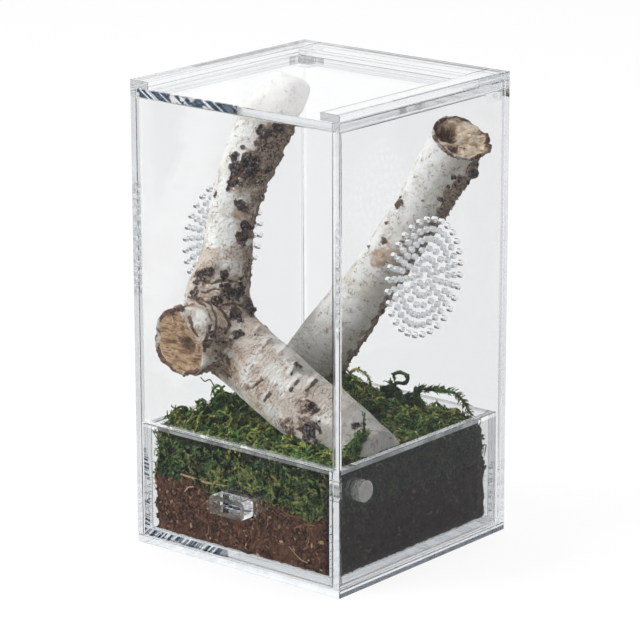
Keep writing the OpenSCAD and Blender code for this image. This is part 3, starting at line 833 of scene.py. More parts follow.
def layers_of(points, bark_at, swirls, seed):
    """Number of the bark layer at each point, and 1 where the layers run round a knot."""
    layer = bark_at[:, 2] / 1.8 + 1.7 * lumps(bark_at, 7.0, seed) + 0.8 * lumps(bark_at, 2.8, seed + 1)
    swirl = np.zeros(len(points))
    for place, up_way, tall, wide in swirls:
        off = points - np.array(place)
        up_way = np.array(up_way) / np.linalg.norm(up_way)
        high = off @ up_way
        across = np.sqrt(np.maximum((off**2).sum(1) - high**2, 0))
        far = np.sqrt((high / tall) ** 2 + (across / wide) ** 2)
        share = 1 - smooth_step(far, 1.5, 2.3)
        wavy = far * 3.1 + 0.35 * lumps(points, 3.0, seed + 2)
        layer = np.where(share > swirl, layer * (1 - share) + wavy * share, layer)
        swirl = np.maximum(swirl, share * smooth_step(far, 0.75, 1.05))
    return layer, swirl


# %% Grow a branch
def grow_branch(name, limbs, saws, marks, seed):
    """limbs: lists of stations; saws: a list of planes for each limb; marks: named spots."""
    mesh = fuse(name, [skin(s, c) for s, c in zip(limbs, saws)], 0.52)
    points = points_of(mesh)
    bark_at, outward, reach = along_limbs(points, limbs)
    sawn = np.zeros(len(points))
    for point, out in marks["cut"]:
        gap = np.abs((points - np.array(point)) @ np.array(out))
        near = np.linalg.norm(points - np.array(point), axis=1) < 19
        sawn = np.maximum(sawn, (1 - smooth_step(gap, 0.35, 0.8)) * near)
    border = reach + 0.05 * lumps(points, 3.0, seed + 20) + 0.03 * lumps(points, 1.2, seed + 21)
    face = sawn * (1 - smooth_step(border, 0.84, 0.92))
    rim = sawn * (1 - face)
    layer, swirl = layers_of(points, bark_at, marks["swirl"], seed + 24)
    scar = patches(points, marks["scar"], seed, 1.9, 0.56)
    torn = patches(points, marks["torn"], seed + 2, 3.0, 0.42)
    for toward, above, low, high in marks["torn_side"]:
        facing = outward @ (np.array(toward) / np.linalg.norm(toward))
        band = smooth_step(points[:, 2], low - 3, low + 3) * (1 - smooth_step(points[:, 2], high - 3, high + 3))
        edge = above + 0.20 * lumps(points, 6.0, seed + 4) + 0.16 * lumps(points, 2.1, seed + 5)
        torn = np.maximum(torn, smooth_step(facing - edge, -0.12, 0.10) * band)
    rust = patches(points, marks["rust"], seed + 6, 1.8)
    weathered = patches(points, marks["weathered"], seed + 8, 5.0)
    bleached = patches(points, marks["bleached"], seed + 30, 4.0)
    # The dull patches are painted shade.
    tan, dull = patches(points, marks["tan"], seed + 31, 5.0), patches(points, marks["dull"], seed + 32, 5.0)
    page = np.sin(np.floor(layer) * 12.9898) * 43758.5453
    page = page - np.floor(page)
    gap = np.abs(layer - np.floor(layer) - 0.5)
    flap = smooth_step(lumps(points, 2.3, seed + 10) + 0.5 * lumps(points, 1.0, seed + 11), 0.28, 0.55)
    lift = 0.50 * lumps(points, 13, seed + 12) + 0.25 * lumps(points, 4.5, seed + 13)
    lift += 0.07 * lumps(points, 1.4, seed + 14)
    lift += torn * (0.75 * flap + 0.45 * page - 0.40 + 0.35 * lumps(points, 5.5, seed + 19))
    lift -= 0.30 * np.maximum(torn, np.maximum(swirl, 0.6 * weathered)) * smooth_step(gap, 0.36, 0.5)
    lift += swirl * 0.25
    edge_ring = 4 * scar * (1 - scar)
    crumbs = 0.75 * lumps(points, 1.8, seed + 15) + 0.45 * lumps(points, 0.95, seed + 16)
    lift += scar * (0.1 + crumbs) + 0.45 * edge_ring
    crack = np.zeros(len(points))
    for start, end, high in marks["ridge"]:
        wavy = 0.35 * lumps(points, 1.6, seed + 22)
        lift += high * (1 - smooth_step(near_line(points, start, end) + wavy, 0.3, 1.25))
        low_start, low_end = np.array(start) + (0.5, -0.1, -0.8), np.array(end) + (0.5, -0.1, -0.8)
        crack = np.maximum(crack, 1 - smooth_step(near_line(points, low_start, low_end) + wavy, 0.25, 0.85))
    for line, wide, deep in marks["seam"]:
        for start, end in zip(line, line[1:]):
            here = 1 - smooth_step(near_line(points, start, end) + 0.4 * lumps(points, 1.7, seed + 23), wide * 0.4, wide)
            crack = np.maximum(crack, here)
            lift -= deep * here
    lift *= 1 - face
    lift += face * (0.55 * lumps(points, 3.2, seed + 17) + 0.45 * lumps(points, 1.2, seed + 18) - 0.5)
    hollow = np.zeros(len(points))
    for x, y, z, radius, depth in marks["hollow"]:
        gap = np.linalg.norm(points - (x, y, z), axis=1) / radius + 0.22 * lumps(points, 2.6, seed + 25)
        here = 1 - smooth_step(gap, 0.35, 1.0)
        lift -= depth * here * np.clip(1.4 * (1 - smooth_step(border, 0.80, 0.98)), 0, 1) * (sawn > 0)
        hollow = np.maximum(hollow, here * min(1.0, max(depth, 0.0) / 2.5))
    for x, y, z, radius, height in marks["knob"]:
        middle = points[((points - (x, y, z)) ** 2).sum(1).argmin()]
        gap = np.linalg.norm(points - middle, axis=1) / radius
        lift += height * (1 - smooth_step(gap, 0.2, 1.0))
    lift += rim * (0.35 + 0.45 * lumps(points, 2.2, seed + 26))
    moved = points + normals_of(mesh) * lift[:, None]
    set_points(mesh, np.clip(moved, (-46.7, -46.8, 48.3), (46.7, 46.7, 173.4)))
    mesh.attributes.new("bark_at", "FLOAT_VECTOR", "POINT").data.foreach_set(
        "vector", (bark_at * MM).astype(np.float32).ravel()
    )
    for title, values in (("scar", scar), ("torn", torn), ("rust", rust), ("weathered", weathered),
                          ("sawn", face), ("rim", rim), ("hollow", hollow), ("crack", crack),
                          ("layer", layer), ("swirl", swirl), ("bleached", bleached),
                          ("tan", tan), ("dull", dull), ("fresh", sawn * marks["fresh"])):
        write_mask(mesh, title, values)
    mesh.polygons.foreach_set("use_smooth", [True] * len(mesh.polygons))
    return add_piece(name, mesh, bark_material)


# %% The bent branch
elbow = (-26, -25, 81, 13.3)
upper_limb = [elbow, (-30.6, -23.3, 94, 12.4), (-31.1, -17.9, 106, 10.1), (-33.3, -12, 118, 9.1),
              (-35.4, -3.8, 134, 9.4), (-33.7, 7.6, 154, 10.7), (-29.8, 14.8, 165, 8.9), (-29.1, 16.9, 169.4, 7.7),
              (-28.9, 17.6, 171.0, 5.5)]
lower_limb = [elbow, (2, -25, 66.5, 12.9), (33, -22, 48.9, 12.3), (50, -20.4, 39.5, 11.6)]
stub = [(-26.6, -25, 81, 12.8), (-28, -46.7, 83, 12.8), (-28.6, -56, 84, 12.8)]
stub_cut = ((-28, -46.7, 83), (0, -1, 0))
bent = grow_branch(
    "birch_bent_branch", [upper_limb, lower_limb, stub],
    [[((-31, 18, 172.9), (0, 0, 1))],
     [((33, -22, 48.8), (0, 0, -1)), ((45.6, -21, 52), (0.97, 0, 0.24))],
     [stub_cut, ((-25.2, -46.7, 88.3), (0.42, -0.82, 0.39)), ((-18.3, -46.7, 82), (0.62, -0.78, -0.09))]],
    {
        "cut": [stub_cut],
        "swirl": [((-20.5, -44.5, 89.5), (0.15, 0, 1), 6.2, 2.9), ((-28.5, -29.7, 109.4), (0, 0.3, 1), 2.6, 2.2),
                  ((-14.5, -37.0, 86.0), (0.3, 0, 1), 2.4, 1.6), ((25.4, -35.5, 55.8), (0.3, 0, 1), 3.2, 3.2)],
        "ridge": [((-9.7, -23.1, 87.3), (-7.7, -28.8, 85.8), 0.9), ((-3.1, -25.1, 83.8), (-2.0, -32.1, 80.9), 0.8),
                  ((1.4, -21.2, 80.7), (3.8, -27.5, 79.8), 0.6), ((9.7, -25.3, 76.9), (11.5, -30.3, 74.6), 0.8),
                  ((14.8, -30.2, 72.9), (14.1, -33.9, 69.7), 0.8), ((18.6, -24.4, 72.3), (19.1, -30.7, 69.9), 0.7),
                  ((2.8, -36.7, 72.5), (-0.9, -38.0, 69.0), 0.6), ((26.5, -31.0, 65.3), (23.0, -35.5, 61.5), 0.8),
                  ((-5.5, -36.5, 74.5), (-8.5, -37.5, 71.0), 0.7), ((7.0, -37.0, 68.0), (4.5, -38.0, 65.0), 0.6)],
        "seam": [([(-24.0, -47, 96), (-21.7, -47, 92.9), (-22.0, -47, 88.0), (-16.2, -46.5, 81.5)], 1.3, 0.9),
                 ([(35.4, -29.1, 61.2), (39.7, -28.0, 59.1)], 1.2, 0.6),
                 ([(-33.5, -31.5, 107), (-31.5, -31.0, 112)], 0.9, 0.5),
                 ([(-29.8, -35.6, 96.1), (-26.0, -35.4, 94.8), (-19.9, -39.5, 92.5), (-17.5, -42.3, 88.9),
                   (-17.7, -44.4, 84.7), (-17.2, -45.6, 81.2)], 0.9, 0.5),
                 ([(-28.6, -35.3, 97.0), (-24.4, -34.3, 95.6), (-20.0, -36.0, 92.5), (-16.8, -39.1, 89.1),
                   (-15.7, -42.6, 86.2)], 0.8, 0.4),
                 ([(-25.7, -44.7, 92.6), (-23.2, -45.4, 88.5), (-20.6, -45.5, 85.9)], 0.7, 0.3),
                 ([(-35.3, -34.5, 96.5), (-29.4, -35.4, 96.5)], 0.8, 0.4),
                 ([(-21.6, -33.0, 94.7), (-18.9, -31.7, 91.7), (-16.3, -32.3, 88.5), (-15.3, -35.8, 86.3)], 0.8, 0.4),
                 ([(-15.0, -41.9, 80.8), (-13.5, -38.0, 77.4), (-11.4, -38.2, 73.6)], 0.8, 0.4),
                 ([(-16.8, -41.0, 75.6), (-16.4, -37.6, 71.4), (-11.8, -37.7, 69.9)], 0.8, 0.4),
                 ([(-24.1, -33.6, 96.7), (-20.3, -31.1, 95.3), (-18.5, -27.5, 95.2), (-17.1, -24.0, 93.5)], 0.7, 0.4),
                 ([(-31.3, -34.4, 99.5), (-26.9, -33.8, 99.3), (-24.1, -31.3, 100.8), (-21.2, -28.9, 99.7)], 0.7, 0.4),
                 ([(-31.0, -32.5, 103.0), (-25.9, -31.4, 102.5), (-23.0, -27.9, 103.8), (-20.5, -23.9, 102.6)], 0.7, 0.4)],
        "scar": [
            (-27.5, -7.0, 143.1, 4.0), (-29.9, -10.1, 141.4, 3.8), (-31.6, -13.4, 137.5, 3.2),
            (-33.3, -8.9, 146.1, 1.9), (-28.2, -8.6, 145.3, 2.6), (-26.8, -0.2, 154.8, 2.5),
            (-24.4, 5.0, 157.2, 2.6), (-24.6, -0.6, 140.5, 1.6), (-31.8, -6.6, 149.4, 0.8),
            (-26.2, -13.6, 129.8, 2.1), (-24.2, -12.6, 128.6, 1.7), (-24.0, -13.5, 121.6, 2.6),
            (-23.6, -15.2, 118.2, 2.6), (-23.6, -16.6, 115.2, 2.2),
            (-30.9, -32.8, 105.8, 2.9), (-28.0, -31.2, 106.6, 1.8), (-22.9, -27.0, 106.0, 1.8),
            (-20.6, -28.6, 99.7, 2.6), (-19.3, -24.4, 99.1, 2.8), (-22.0, -32.8, 96.9, 2.0),
            (-31.5, -36.1, 99.0, 2.0), (-17.4, -19.9, 92.2, 2.9), (-16.7, -28.7, 91.5, 2.9),
            (-16.4, -42.7, 87.6, 1.6), (-11.8, -32.7, 85.9, 1.9), (-29.4, -45.2, 95.1, 1.9),
            (-16.6, -45.5, 84.5, 1.7), (11.4, -26.1, 75.9, 1.5),
            (25.4, -35.5, 55.4, 4.0), (23.4, -33.6, 64.6, 1.9), (38.4, -28.1, 60.0, 1.7),
            (-37.6, -13.4, 131.0, 1.3), (-44, 2, 140, 3.2), (-40, -8, 100, 3.0), (10, -14, 70, 2.4),
        ],
        "torn": [
            (-29, -32, 104, 3.6), (-21, -28, 99, 4.4), (-18, -38, 84, 4.5), (-14, -39, 75, 4.5),
            (-18, -21, 92, 4.4), (-31, -40, 94, 3.8), (-36, -36, 90, 3.6), (-17, -41, 70, 4.0),
            (21.8, -34.0, 64.3, 3.6), (14.7, -35.9, 55.6, 4.2), (22.4, -35.0, 59.0, 3.0),
            (-26, -36, 70, 5.0),
        ],
        "torn_side": [((1.0, 0.35, 0.12), 0.34, 134, 158), ((0.9, 0.5, 0.1), 0.80, 100, 134),
                      ((0.3, 1.0, 0.0), 0.80, 60, 158), ((0.1, 0.2, -1.0), 0.86, 50, 90)],
        "rust": [(-27.3, -16.0, 127.1, 2.4), (-25.3, -15.0, 126.4, 1.9), (-30.5, -13.5, 116.0, 1.2),
                 (-23, -46, 78, 3.0), (-12, -37, 73, 2.4)],
        "weathered": [(2, -34, 70, 14), (22, -32, 62, 15), (-18, -34, 84, 17), (-28, -28, 104, 17), (-20, -20, 96, 14)],
        "bleached": [(-30, 13, 168, 12), (-37, -4, 150, 9), (-35, -14, 132, 8), (-31, -20, 119, 6), (-22, -46, 89, 3)],
        "tan": [(-26, -32, 101, 10), (-20, -25, 96, 9), (-20, -35, 90, 7), (-15, -38, 76, 8), (-20, -40, 86, 5), (-24, -40, 70, 8),
                (-27, -12, 124, 5), (2, -36, 66, 6)],
        # dull: painted shade on the lower limb towards the right wall.
        "dull": [(42, -24, 56, 13), (30, -33, 52, 7), (12, -22, 76, 6)],
        "fresh": 0.0,
        "hollow": [(-25.6, -46.7, 81.5, 5.0, 2.2), (-32, -46.7, 92.5, 3.6, 1.2), (-20.5, -46.7, 76, 3.0, 1.0)],
        "knob": [(-28.5, -29.7, 109.4, 3.6, 1.9), (-16.6, -18.5, 92.5, 4.0, 1.3), (-24.5, -1.5, 141, 3.0, 1.3),
                 (-19, -46, 92, 5, 1.2), (11, -27, 76, 3.0, 0.9), (-38.4, -46, 76, 6, 1.4)],
    },
    3,
)

# %% The straight branch
straight_limb = [(39.8, 38.7, 165.5, 11.1), (36.4, 35.9, 155.8, 11.1), (26.4, 26.5, 131, 9.9), (9.6, 15.0, 98, 9.7),
                 (-5.4, 8.5, 73, 11.0), (-17, 1, 52, 11.5), (-22, -2.0, 42, 11.5)]
top_cut = ((36.2, 35.9, 155.6), (0.532, -0.109, 0.839))
straight = grow_branch(
    "birch_straight_branch", [straight_limb], [[top_cut, ((-17, 1, 48.8), (0, 0, -1))]],
    {
        "cut": [top_cut],
        "swirl": [((22.5, 16.1, 131.8), (0.3, 0.3, 1), 2.0, 1.6), ((17.9, 9.9, 112.2), (0.3, 0.3, 1), 2.0, 2.6)],
        "ridge": [((24.0, 13.5, 118.0), (31.0, 15.5, 121.0), 0.5), ((30.0, 17.0, 138.0), (34.0, 18.5, 139.0), 0.4)],
        "seam": [],
        "scar": [(22.5, 16.1, 131.8, 1.8), (21.8, 17.4, 134.0, 1.0), (39.7, 24.2, 139.0, 1.0),
                 (32.3, 17.5, 134.2, 0.7), (37.7, 22.0, 134.5, 0.9), (41.0, 25.5, 142.8, 0.8),
                 (19.5, 11.4, 118.0, 1.3), (18.2, 14.2, 124.2, 0.9), (12.5, 11.9, 114.0, 0.7),
                 (45, 33, 143, 1.6), (20, 36, 120, 4), (2, 20, 90, 3)],
        "torn": [(45.5, 34, 141.0, 4.5), (38, 27, 128, 4.0)],
        "torn_side": [((0.80, 0.62, -0.12), 0.50, 112, 162), ((0.80, 0.62, -0.12), 0.62, 48, 112)],
        "rust": [(17.9, 9.9, 112.2, 2.9), (16.5, 10.2, 109.5, 1.8), (23.1, 11.2, 113.2, 3.6)],
        "weathered": [(20, 12, 110, 6)],
        "bleached": [(30, 24, 150, 12), (24, 16, 134, 10), (14, 8, 112, 9), (4, 4, 92, 10), (-4, 0, 76, 9)],
        "tan": [(18, 10, 111, 3)],
        # dull: painted shade at the foot of the branch.
        "dull": [(-14, 2, 54, 9)],
        "fresh": 1.0,
        "hollow": [(31.6, 33.6, 158.2, 7.4, 6.0), (38.5, 29.5, 153.4, 4.2, 3.0), (40.5, 45.5, 154.2, 4.0, 1.2)],
        "knob": [(46.5, 36.5, 141, 3.5, 2.2), (45.0, 44.0, 151.0, 4.0, 1.6), (22.5, 16.1, 131.8, 2.5, 0.5),
                 (40.8, 45.5, 155.0, 3.2, 1.4)],
    },
    41,
)

# %% [markdown]
# ## Strewing small things over a surface
# Moss strands, soil crumbs and fibres are all strewn in the same way, so one Geometry Nodes tree
# does it. It throws points on a surface, lays one of several small shapes on each point, turned at
# random, notes a random tone for it, and makes real faces of them all.


# %% The strewing tree
def strewing_tree():
    tree = bpy.data.node_groups.new("strew", "GeometryNodeTree")
    face = tree.interface
    face.new_socket("Surface", in_out="INPUT", socket_type="NodeSocketGeometry")
    for title, kind, value in (
        ("Per Square Metre", "NodeSocketFloat", 1e5), ("Seed", "NodeSocketInt", 1),
        ("Smallest", "NodeSocketFloat", 0.8), ("Largest", "NodeSocketFloat", 1.2),
        ("Lean", "NodeSocketFloat", 0.3), ("From X", "NodeSocketFloat", -1.0),
        ("To X", "NodeSocketFloat", 1.0),
    ):
        face.new_socket(title, in_out="INPUT", socket_type=kind).default_value = value
    face.new_socket("Shapes", in_out="INPUT", socket_type="NodeSocketCollection")
    face.new_socket("Finish", in_out="INPUT", socket_type="NodeSocketMaterial")
    face.new_socket("Strewn", in_out="OUTPUT", socket_type="NodeSocketGeometry")
    given = put(tree, "NodeGroupInput").outputs

    def draw(low, high, shift, kind="FLOAT"):
        seed = put(tree, "FunctionNodeIntegerMath", {0: given["Seed"], 1: shift}).outputs[0]
        node = put(tree, "FunctionNodeRandomValue", {"Seed": seed}, data_type=kind)
        places = {"FLOAT": (2, 3, 1), "INT": (4, 5, 2)}[kind]
        for index, value in zip(places, (low, high)):
            if isinstance(value, bpy.types.NodeSocket):
                tree.links.new(value, node.inputs[index])
            else:
                node.inputs[index].default_value = value
        return node.outputs[places[2]]

    thrown = put(tree, "GeometryNodeDistributePointsOnFaces", {
        "Mesh": given["Surface"], "Density": given["Per Square Metre"], "Seed": given["Seed"],
    }).outputs
    x = put(tree, "ShaderNodeSeparateXYZ", {0: put(tree, "GeometryNodeInputPosition").outputs[0]}).outputs[0]
    left = put(tree, "FunctionNodeCompare", {0: x, 1: given["From X"]}, operation="LESS_THAN").outputs[0]
    right = put(tree, "FunctionNodeCompare", {0: x, 1: given["To X"]}, operation="GREATER_EQUAL").outputs[0]
    away = put(tree, "FunctionNodeBooleanMath", {0: left, 1: right}, operation="OR").outputs[0]
    kept = put(tree, "GeometryNodeDeleteGeometry", {"Geometry": thrown["Points"], "Selection": away}).outputs[0]
    back = calc(tree, "MULTIPLY", given["Lean"], -1.0)
    lean = put(tree, "ShaderNodeCombineXYZ", {
        0: draw(back, given["Lean"], 11), 1: draw(back, given["Lean"], 12), 2: draw(0.0, 6.283, 13),
    }).outputs[0]
    spin = put(tree, "FunctionNodeEulerToRotation", {0: lean}).outputs[0]
    turned = put(tree, "FunctionNodeRotateRotation", {0: thrown["Rotation"], 1: spin},
                 rotation_space="LOCAL").outputs[0]
    shapes = put(tree, "GeometryNodeCollectionInfo", {
        "Collection": given["Shapes"], "Separate Children": True, "Reset Children": True,
    }).outputs[0]
    laid = put(tree, "GeometryNodeInstanceOnPoints", {
        "Points": kept, "Instance": shapes, "Pick Instance": True, "Instance Index": draw(0, 1000, 14, "INT"),
        "Rotation": turned, "Scale": draw(given["Smallest"], given["Largest"], 15),
    }).outputs[0]
    toned = put(tree, "GeometryNodeStoreNamedAttribute", {
        "Geometry": laid, "Name": "tone", "Value": draw(0.0, 1.0, 16),
    }, data_type="FLOAT", domain="INSTANCE").outputs[0]
    real = put(tree, "GeometryNodeRealizeInstances", {0: toned}).outputs[0]
    done = put(tree, "GeometryNodeSetMaterial", {"Geometry": real, "Material": given["Finish"]}).outputs[0]
    put(tree, "NodeGroupOutput", {"Strewn": done})
    return tree


strew = strewing_tree()


def strewn(name, surface, shapes, finish, density, seed, sizes, lean, band=(-1.0, 1.0)):
    """A plain mesh of the shapes strewn over the surface mesh."""
    holder = bpy.data.objects.new(name + "_bed", surface)
    scene.collection.objects.link(holder)
    step = holder.modifiers.new("strew", "NODES")
    step.node_group = strew
    keys = {item.name: item.identifier for item in strew.interface.items_tree if item.in_out == "INPUT"}
    for title, value in {
        "Per Square Metre": float(density), "Seed": seed, "Smallest": sizes[0], "Largest": sizes[1],
        "Lean": lean, "From X": band[0], "To X": band[1], "Shapes": shapes, "Finish": finish,
    }.items():
        step[keys[title]] = value
    mesh = bpy.data.meshes.new_from_object(holder.evaluated_get(bpy.context.evaluated_depsgraph_get()))
    bpy.data.objects.remove(holder)
    return mesh


def shape_set(name, meshes):
    """A collection of small shapes to strew."""
    group = bpy.data.collections.new(name)
    for mesh in meshes:
        group.objects.link(bpy.data.objects.new(mesh.name, mesh))
    return group


# %% [markdown]
# ## Soil
# The drawer holds coir: brown crumbs, with fibres and bits of husk. Seen through the drawer's wall
# it is a rough face of single crumbs, so a closed block with a crumbly skin carries real crumbs and
# fibres over it. The block stands back from the walls by a ragged gap, as poured soil does.


# %% Soil finish
def crumbly_soil():
    material, tree, out = new_material("coir_soil")
    at = put(tree, "ShaderNodeTexCoord").outputs["Object"]
    tone = put(tree, "ShaderNodeAttribute", attribute_name="tone").outputs["Fac"]
    grain, clump = noise(tree, at, 0.0008, 4.0, 0.7), noise(tree, at, 0.006, 3.0)
    # The grain sets both colour and bump: the soil's own browns, and painted shade in the gaps where the bump is low.
    colour = tint(tree, between(tree, grain, 0.40, 0.62), (0.014, 0.007, 0.005), (0.135, 0.068, 0.044))
    colour = tint(tree, between(tree, clump, 0.42, 0.62, 0, 0.5), colour, (0.15, 0.066, 0.037))
    colour = tint(tree, between(tree, tone, 0.10, 0.0, 0, 0.8), colour, (0.010, 0.006, 0.005))
    colour = tint(tree, between(tree, tone, 0.50, 0.85, 0, 0.65), colour, (0.25, 0.13, 0.082))
    colour = tint(tree, between(tree, tone, 0.93, 0.96), colour, (0.46, 0.30, 0.18))
    # Painted shade: the soil darkens towards the right wall, past x = 40 mm, the side that lies in shade.
    side = put(tree, "ShaderNodeSeparateXYZ", {0: at}).outputs[0]
    colour = tint(tree, between(tree, side, 0.0395, 0.0425, 0, 0.80), colour, (0.016, 0.011, 0.011))
    relief = put(tree, "ShaderNodeBump", {"Height": grain, "Strength": 0.7, "Distance": 0.0004})
    rough = between(tree, clump, 0.3, 0.7, 0.95, 0.78)
    soil = put(tree, "ShaderNodeBsdfPrincipled", {
        "Base Color": colour, "Roughness": rough, "Specular IOR Level": 0.25, "Normal": relief.outputs[0],
    })
    tree.links.new(soil.outputs[0], out.inputs["Surface"])
    return material


soil_material = crumbly_soil()


# %% Blocks with a rough skin
def soil_line(x):
    """Height of the soil's top at x."""
    return 29.4 + 1.2 * np.sin(np.radians(9 * x)) + 0.6 * np.cos(np.radians(17 * x))


def gap_to_walls(points):
    """How far soil and moss stand back from the drawer's four walls at these points."""
    rough = 0.55 + 0.55 * lumps(points, 3.2, 71) + 0.35 * lumps(points, 1.3, 72)
    high = smooth_step(points[:, 2], 26, 44)
    left = 0.1 + 1.6 * high + 1.2 * rough
    back = 0.2 + 3.6 * high + 1.4 * rough
    return np.maximum(left, 0.1), np.maximum(0.4 + 0.4 * rough, 0.3), np.maximum(0.2 + 0.5 * rough, 0.1), back


def block(name, half_x, front_y, back_y, floor, top, step):
    """A closed box of small squares whose top follows top(x, y) and whose floor follows floor(x, y)."""
    xs = np.linspace(-half_x, half_x, int(2 * half_x / step))
    ys = np.linspace(front_y, back_y, int((back_y - front_y) / step))
    x, y = np.meshgrid(xs, ys, indexing="ij")
    low, high = floor(x, y), top(x, y)
    rows = max(3, int((high.mean() - low.mean()) / step))
    nx, ny = x.shape
    grid = [np.stack([x, y, low + (high - low) * k / rows], -1) for k in range(rows + 1)]
    points, faces, number = [], [], {}

    def index(i, j, k):
        if (i, j, k) not in number:
            number[i, j, k] = len(points)
            points.append(grid[k][i, j])
        return number[i, j, k]

    for i in range(nx - 1):
        for j in range(ny - 1):
            faces.append([index(i, j, 0), index(i, j + 1, 0), index(i + 1, j + 1, 0), index(i + 1, j, 0)])
            faces.append([index(i, j, rows), index(i + 1, j, rows), index(i + 1, j + 1, rows), index(i, j + 1, rows)])
    for k in range(rows):
        for i in range(nx - 1):
            faces.append([index(i, 0, k), index(i + 1, 0, k), index(i + 1, 0, k + 1), index(i, 0, k + 1)])
            faces.append([index(i + 1, ny - 1, k), index(i, ny - 1, k), index(i, ny - 1, k + 1), index(i + 1, ny - 1, k + 1)])
        for j in range(ny - 1):
            faces.append([index(0, j + 1, k), index(0, j, k), index(0, j, k + 1), index(0, j + 1, k + 1)])
            faces.append([index(nx - 1, j, k), index(nx - 1, j + 1, k), index(nx - 1, j + 1, k + 1), index(nx - 1, j, k + 1)])
    return np.array(points), faces


def draw_in(points, half_x, front_y, back_y, extra=0.0):
    """Moves a block's sides in from the drawer's walls by the ragged gap."""
    left, front, right, back = gap_to_walls(points)
    moved = points.copy()
    share_x = np.clip((points[:, 0] + half_x) / (2 * half_x), 0, 1)
    share_y = np.clip((points[:, 1] - front_y) / (back_y - front_y), 0, 1)
    moved[:, 0] += (left + extra) * (1 - share_x) ** 6 - (right + extra) * share_x**6
    moved[:, 1] += (front + extra) * (1 - share_y) ** 6 - (back + extra) * share_y**6
    return moved


soil_points, soil_faces = block(
    "soil", 43.1, -46.5, 43.1, lambda x, y: 6.5 + 0 * x, lambda x, y: soil_line(x) - 0.3, 0.95
)
soil_points = draw_in(soil_points, 43.1, -46.5, 43.1)
soil_points += 0.22 * np.stack([lumps(soil_points, 1.1, s) for s in (61, 62, 63)], 1)
soil_points[:, 2] = np.maximum(soil_points[:, 2], 6.45)
soil_core = as_mesh("soil_core", soil_points, soil_faces)


def showing(name, points, faces, tilts):
    """Only the faces whose normal's height is between the two numbers."""
    corners = points[np.array(faces)]
    normals = np.cross(corners[:, 2] - corners[:, 0], corners[:, 3] - corners[:, 1])
    tilt = normals[:, 2] / np.linalg.norm(normals, axis=1)
    wanted = (tilt > tilts[0]) & (tilt < tilts[1])
    return as_mesh(name, points, [f for f, keep in zip(faces, wanted) if keep])


soil_sides = showing("soil_sides", soil_points, soil_faces, (-0.6, 0.6))


# %% Crumbs and fibres
def crumb(number):
    """A lump of 20 faces, longer one way, with moved corners."""
    golden = (1 + 5**0.5) / 2
    corners = [(-1, golden, 0), (1, golden, 0), (-1, -golden, 0), (1, -golden, 0), (0, -1, golden), (0, 1, golden),
               (0, -1, -golden), (0, 1, -golden), (golden, 0, -1), (golden, 0, 1), (-golden, 0, -1), (-golden, 0, 1)]
    faces = [(0, 11, 5), (0, 5, 1), (0, 1, 7), (0, 7, 10), (0, 10, 11), (1, 5, 9), (5, 11, 4), (11, 10, 2),
             (10, 7, 6), (7, 1, 8), (3, 9, 4), (3, 4, 2), (3, 2, 6), (3, 6, 8), (3, 8, 9), (4, 9, 5), (2, 4, 11),
             (6, 2, 10), (8, 6, 7), (9, 8, 1)]
    rng = np.random.default_rng(500 + number)
    body = np.array(corners, float) / 1.9
    body *= 1 + 0.35 * (rng.random((12, 1)) - 0.5)
    body *= np.array([1.0 + 0.9 * rng.random(), 0.75, 0.6]) * 0.42
    return as_mesh(f"crumb_{number}", body, faces)


def strand(name, path, width, leaves, rng, leaf_long=1.2, leaf_wide=0.5, sides=3, knobs=0.0):
    """A thin stem along the path, with small closed leaves all round; knobs make it thick and thin."""
    path = np.asarray(path, float)
    way, side, up = frames_along(path)
    count = len(path)
    taper = width * (0.55 + 0.45 * np.sin(np.linspace(0.35, 2.9, count)))
    taper = taper * (1 + knobs * np.where(np.arange(count) % 2, 1.0, -1.0))
    turns = np.arange(sides) * 2 * np.pi / sides + 0.5
    round_about = np.cos(turns)[None, :, None] * side[:, None] + np.sin(turns)[None, :, None] * up[:, None]
    rings = path[:, None] + taper[:, None, None] / 2 * round_about
    points = list(rings.reshape(-1, 3))
    # Painted top light: the upper side of each stem gets a higher share, which the moss finish paints brighter.
    tip = list((0.5 + 0.5 * round_about[..., 2]).ravel())
    faces = [(sides * i + k, sides * i + (k + 1) % sides, sides * (i + 1) + (k + 1) % sides, sides * (i + 1) + k)
             for i in range(count - 1) for k in range(sides)]
    faces += [tuple(range(sides - 1, -1, -1)), tuple(sides * (count - 1) + k for k in range(sides))]
    for n in range(leaves):
        i = 1 + int((n + rng.random() * 0.6) * (count - 2) / max(leaves, 1))
        turn = rng.random() * 6.283
        out = np.cos(turn) * side[i] + np.sin(turn) * up[i]
        ahead = way[i] * (0.5 + 0.6 * rng.random()) + out
        ahead /= np.linalg.norm(ahead)
        across = np.cross(ahead, way[i])
        across /= np.linalg.norm(across) + 1e-9
        hollow = np.cross(ahead, across)
        long = leaf_long * (0.7 + 0.6 * rng.random())
        middle = path[i] + ahead * long * 0.5 + hollow * leaf_wide * 0.3
        base = len(points)
        points += [path[i] - ahead * 0.1, middle + across * leaf_wide / 2,
                   middle - across * leaf_wide / 2, path[i] + ahead * long]
        faces += [(base, base + 1, base + 2), (base + 1, base + 3, base + 2),
                  (base, base + 3, base + 1), (base, base + 2, base + 3)]
        # Leaves get more towards their tips, also painted brighter.
        tip += [0.4, 0.8, 0.8, 1.0]
    mesh = as_mesh(name, points, faces)
    write_mask(mesh, "tip", np.array(tip))
    return mesh


def curl(rng, long, count, wander, lift):
    """A wandering path in a plane that ends about where its length allows."""
    heading, bend = 0.0, (rng.random() - 0.5) * wander
    place = np.zeros(3)
    path = [place.copy()]
    for i in range(count - 1):
        bend = 0.6 * bend + (rng.random() - 0.5) * wander
        heading += bend
        place = place + long / (count - 1) * np.array([math.cos(heading), math.sin(heading), 0])
        place[2] = lift * math.sin(i / count * 3.1 + rng.random() * 0.5)
        path.append(place.copy())
    path = np.array(path)
    return path - path.mean(0) * (1, 1, 0)


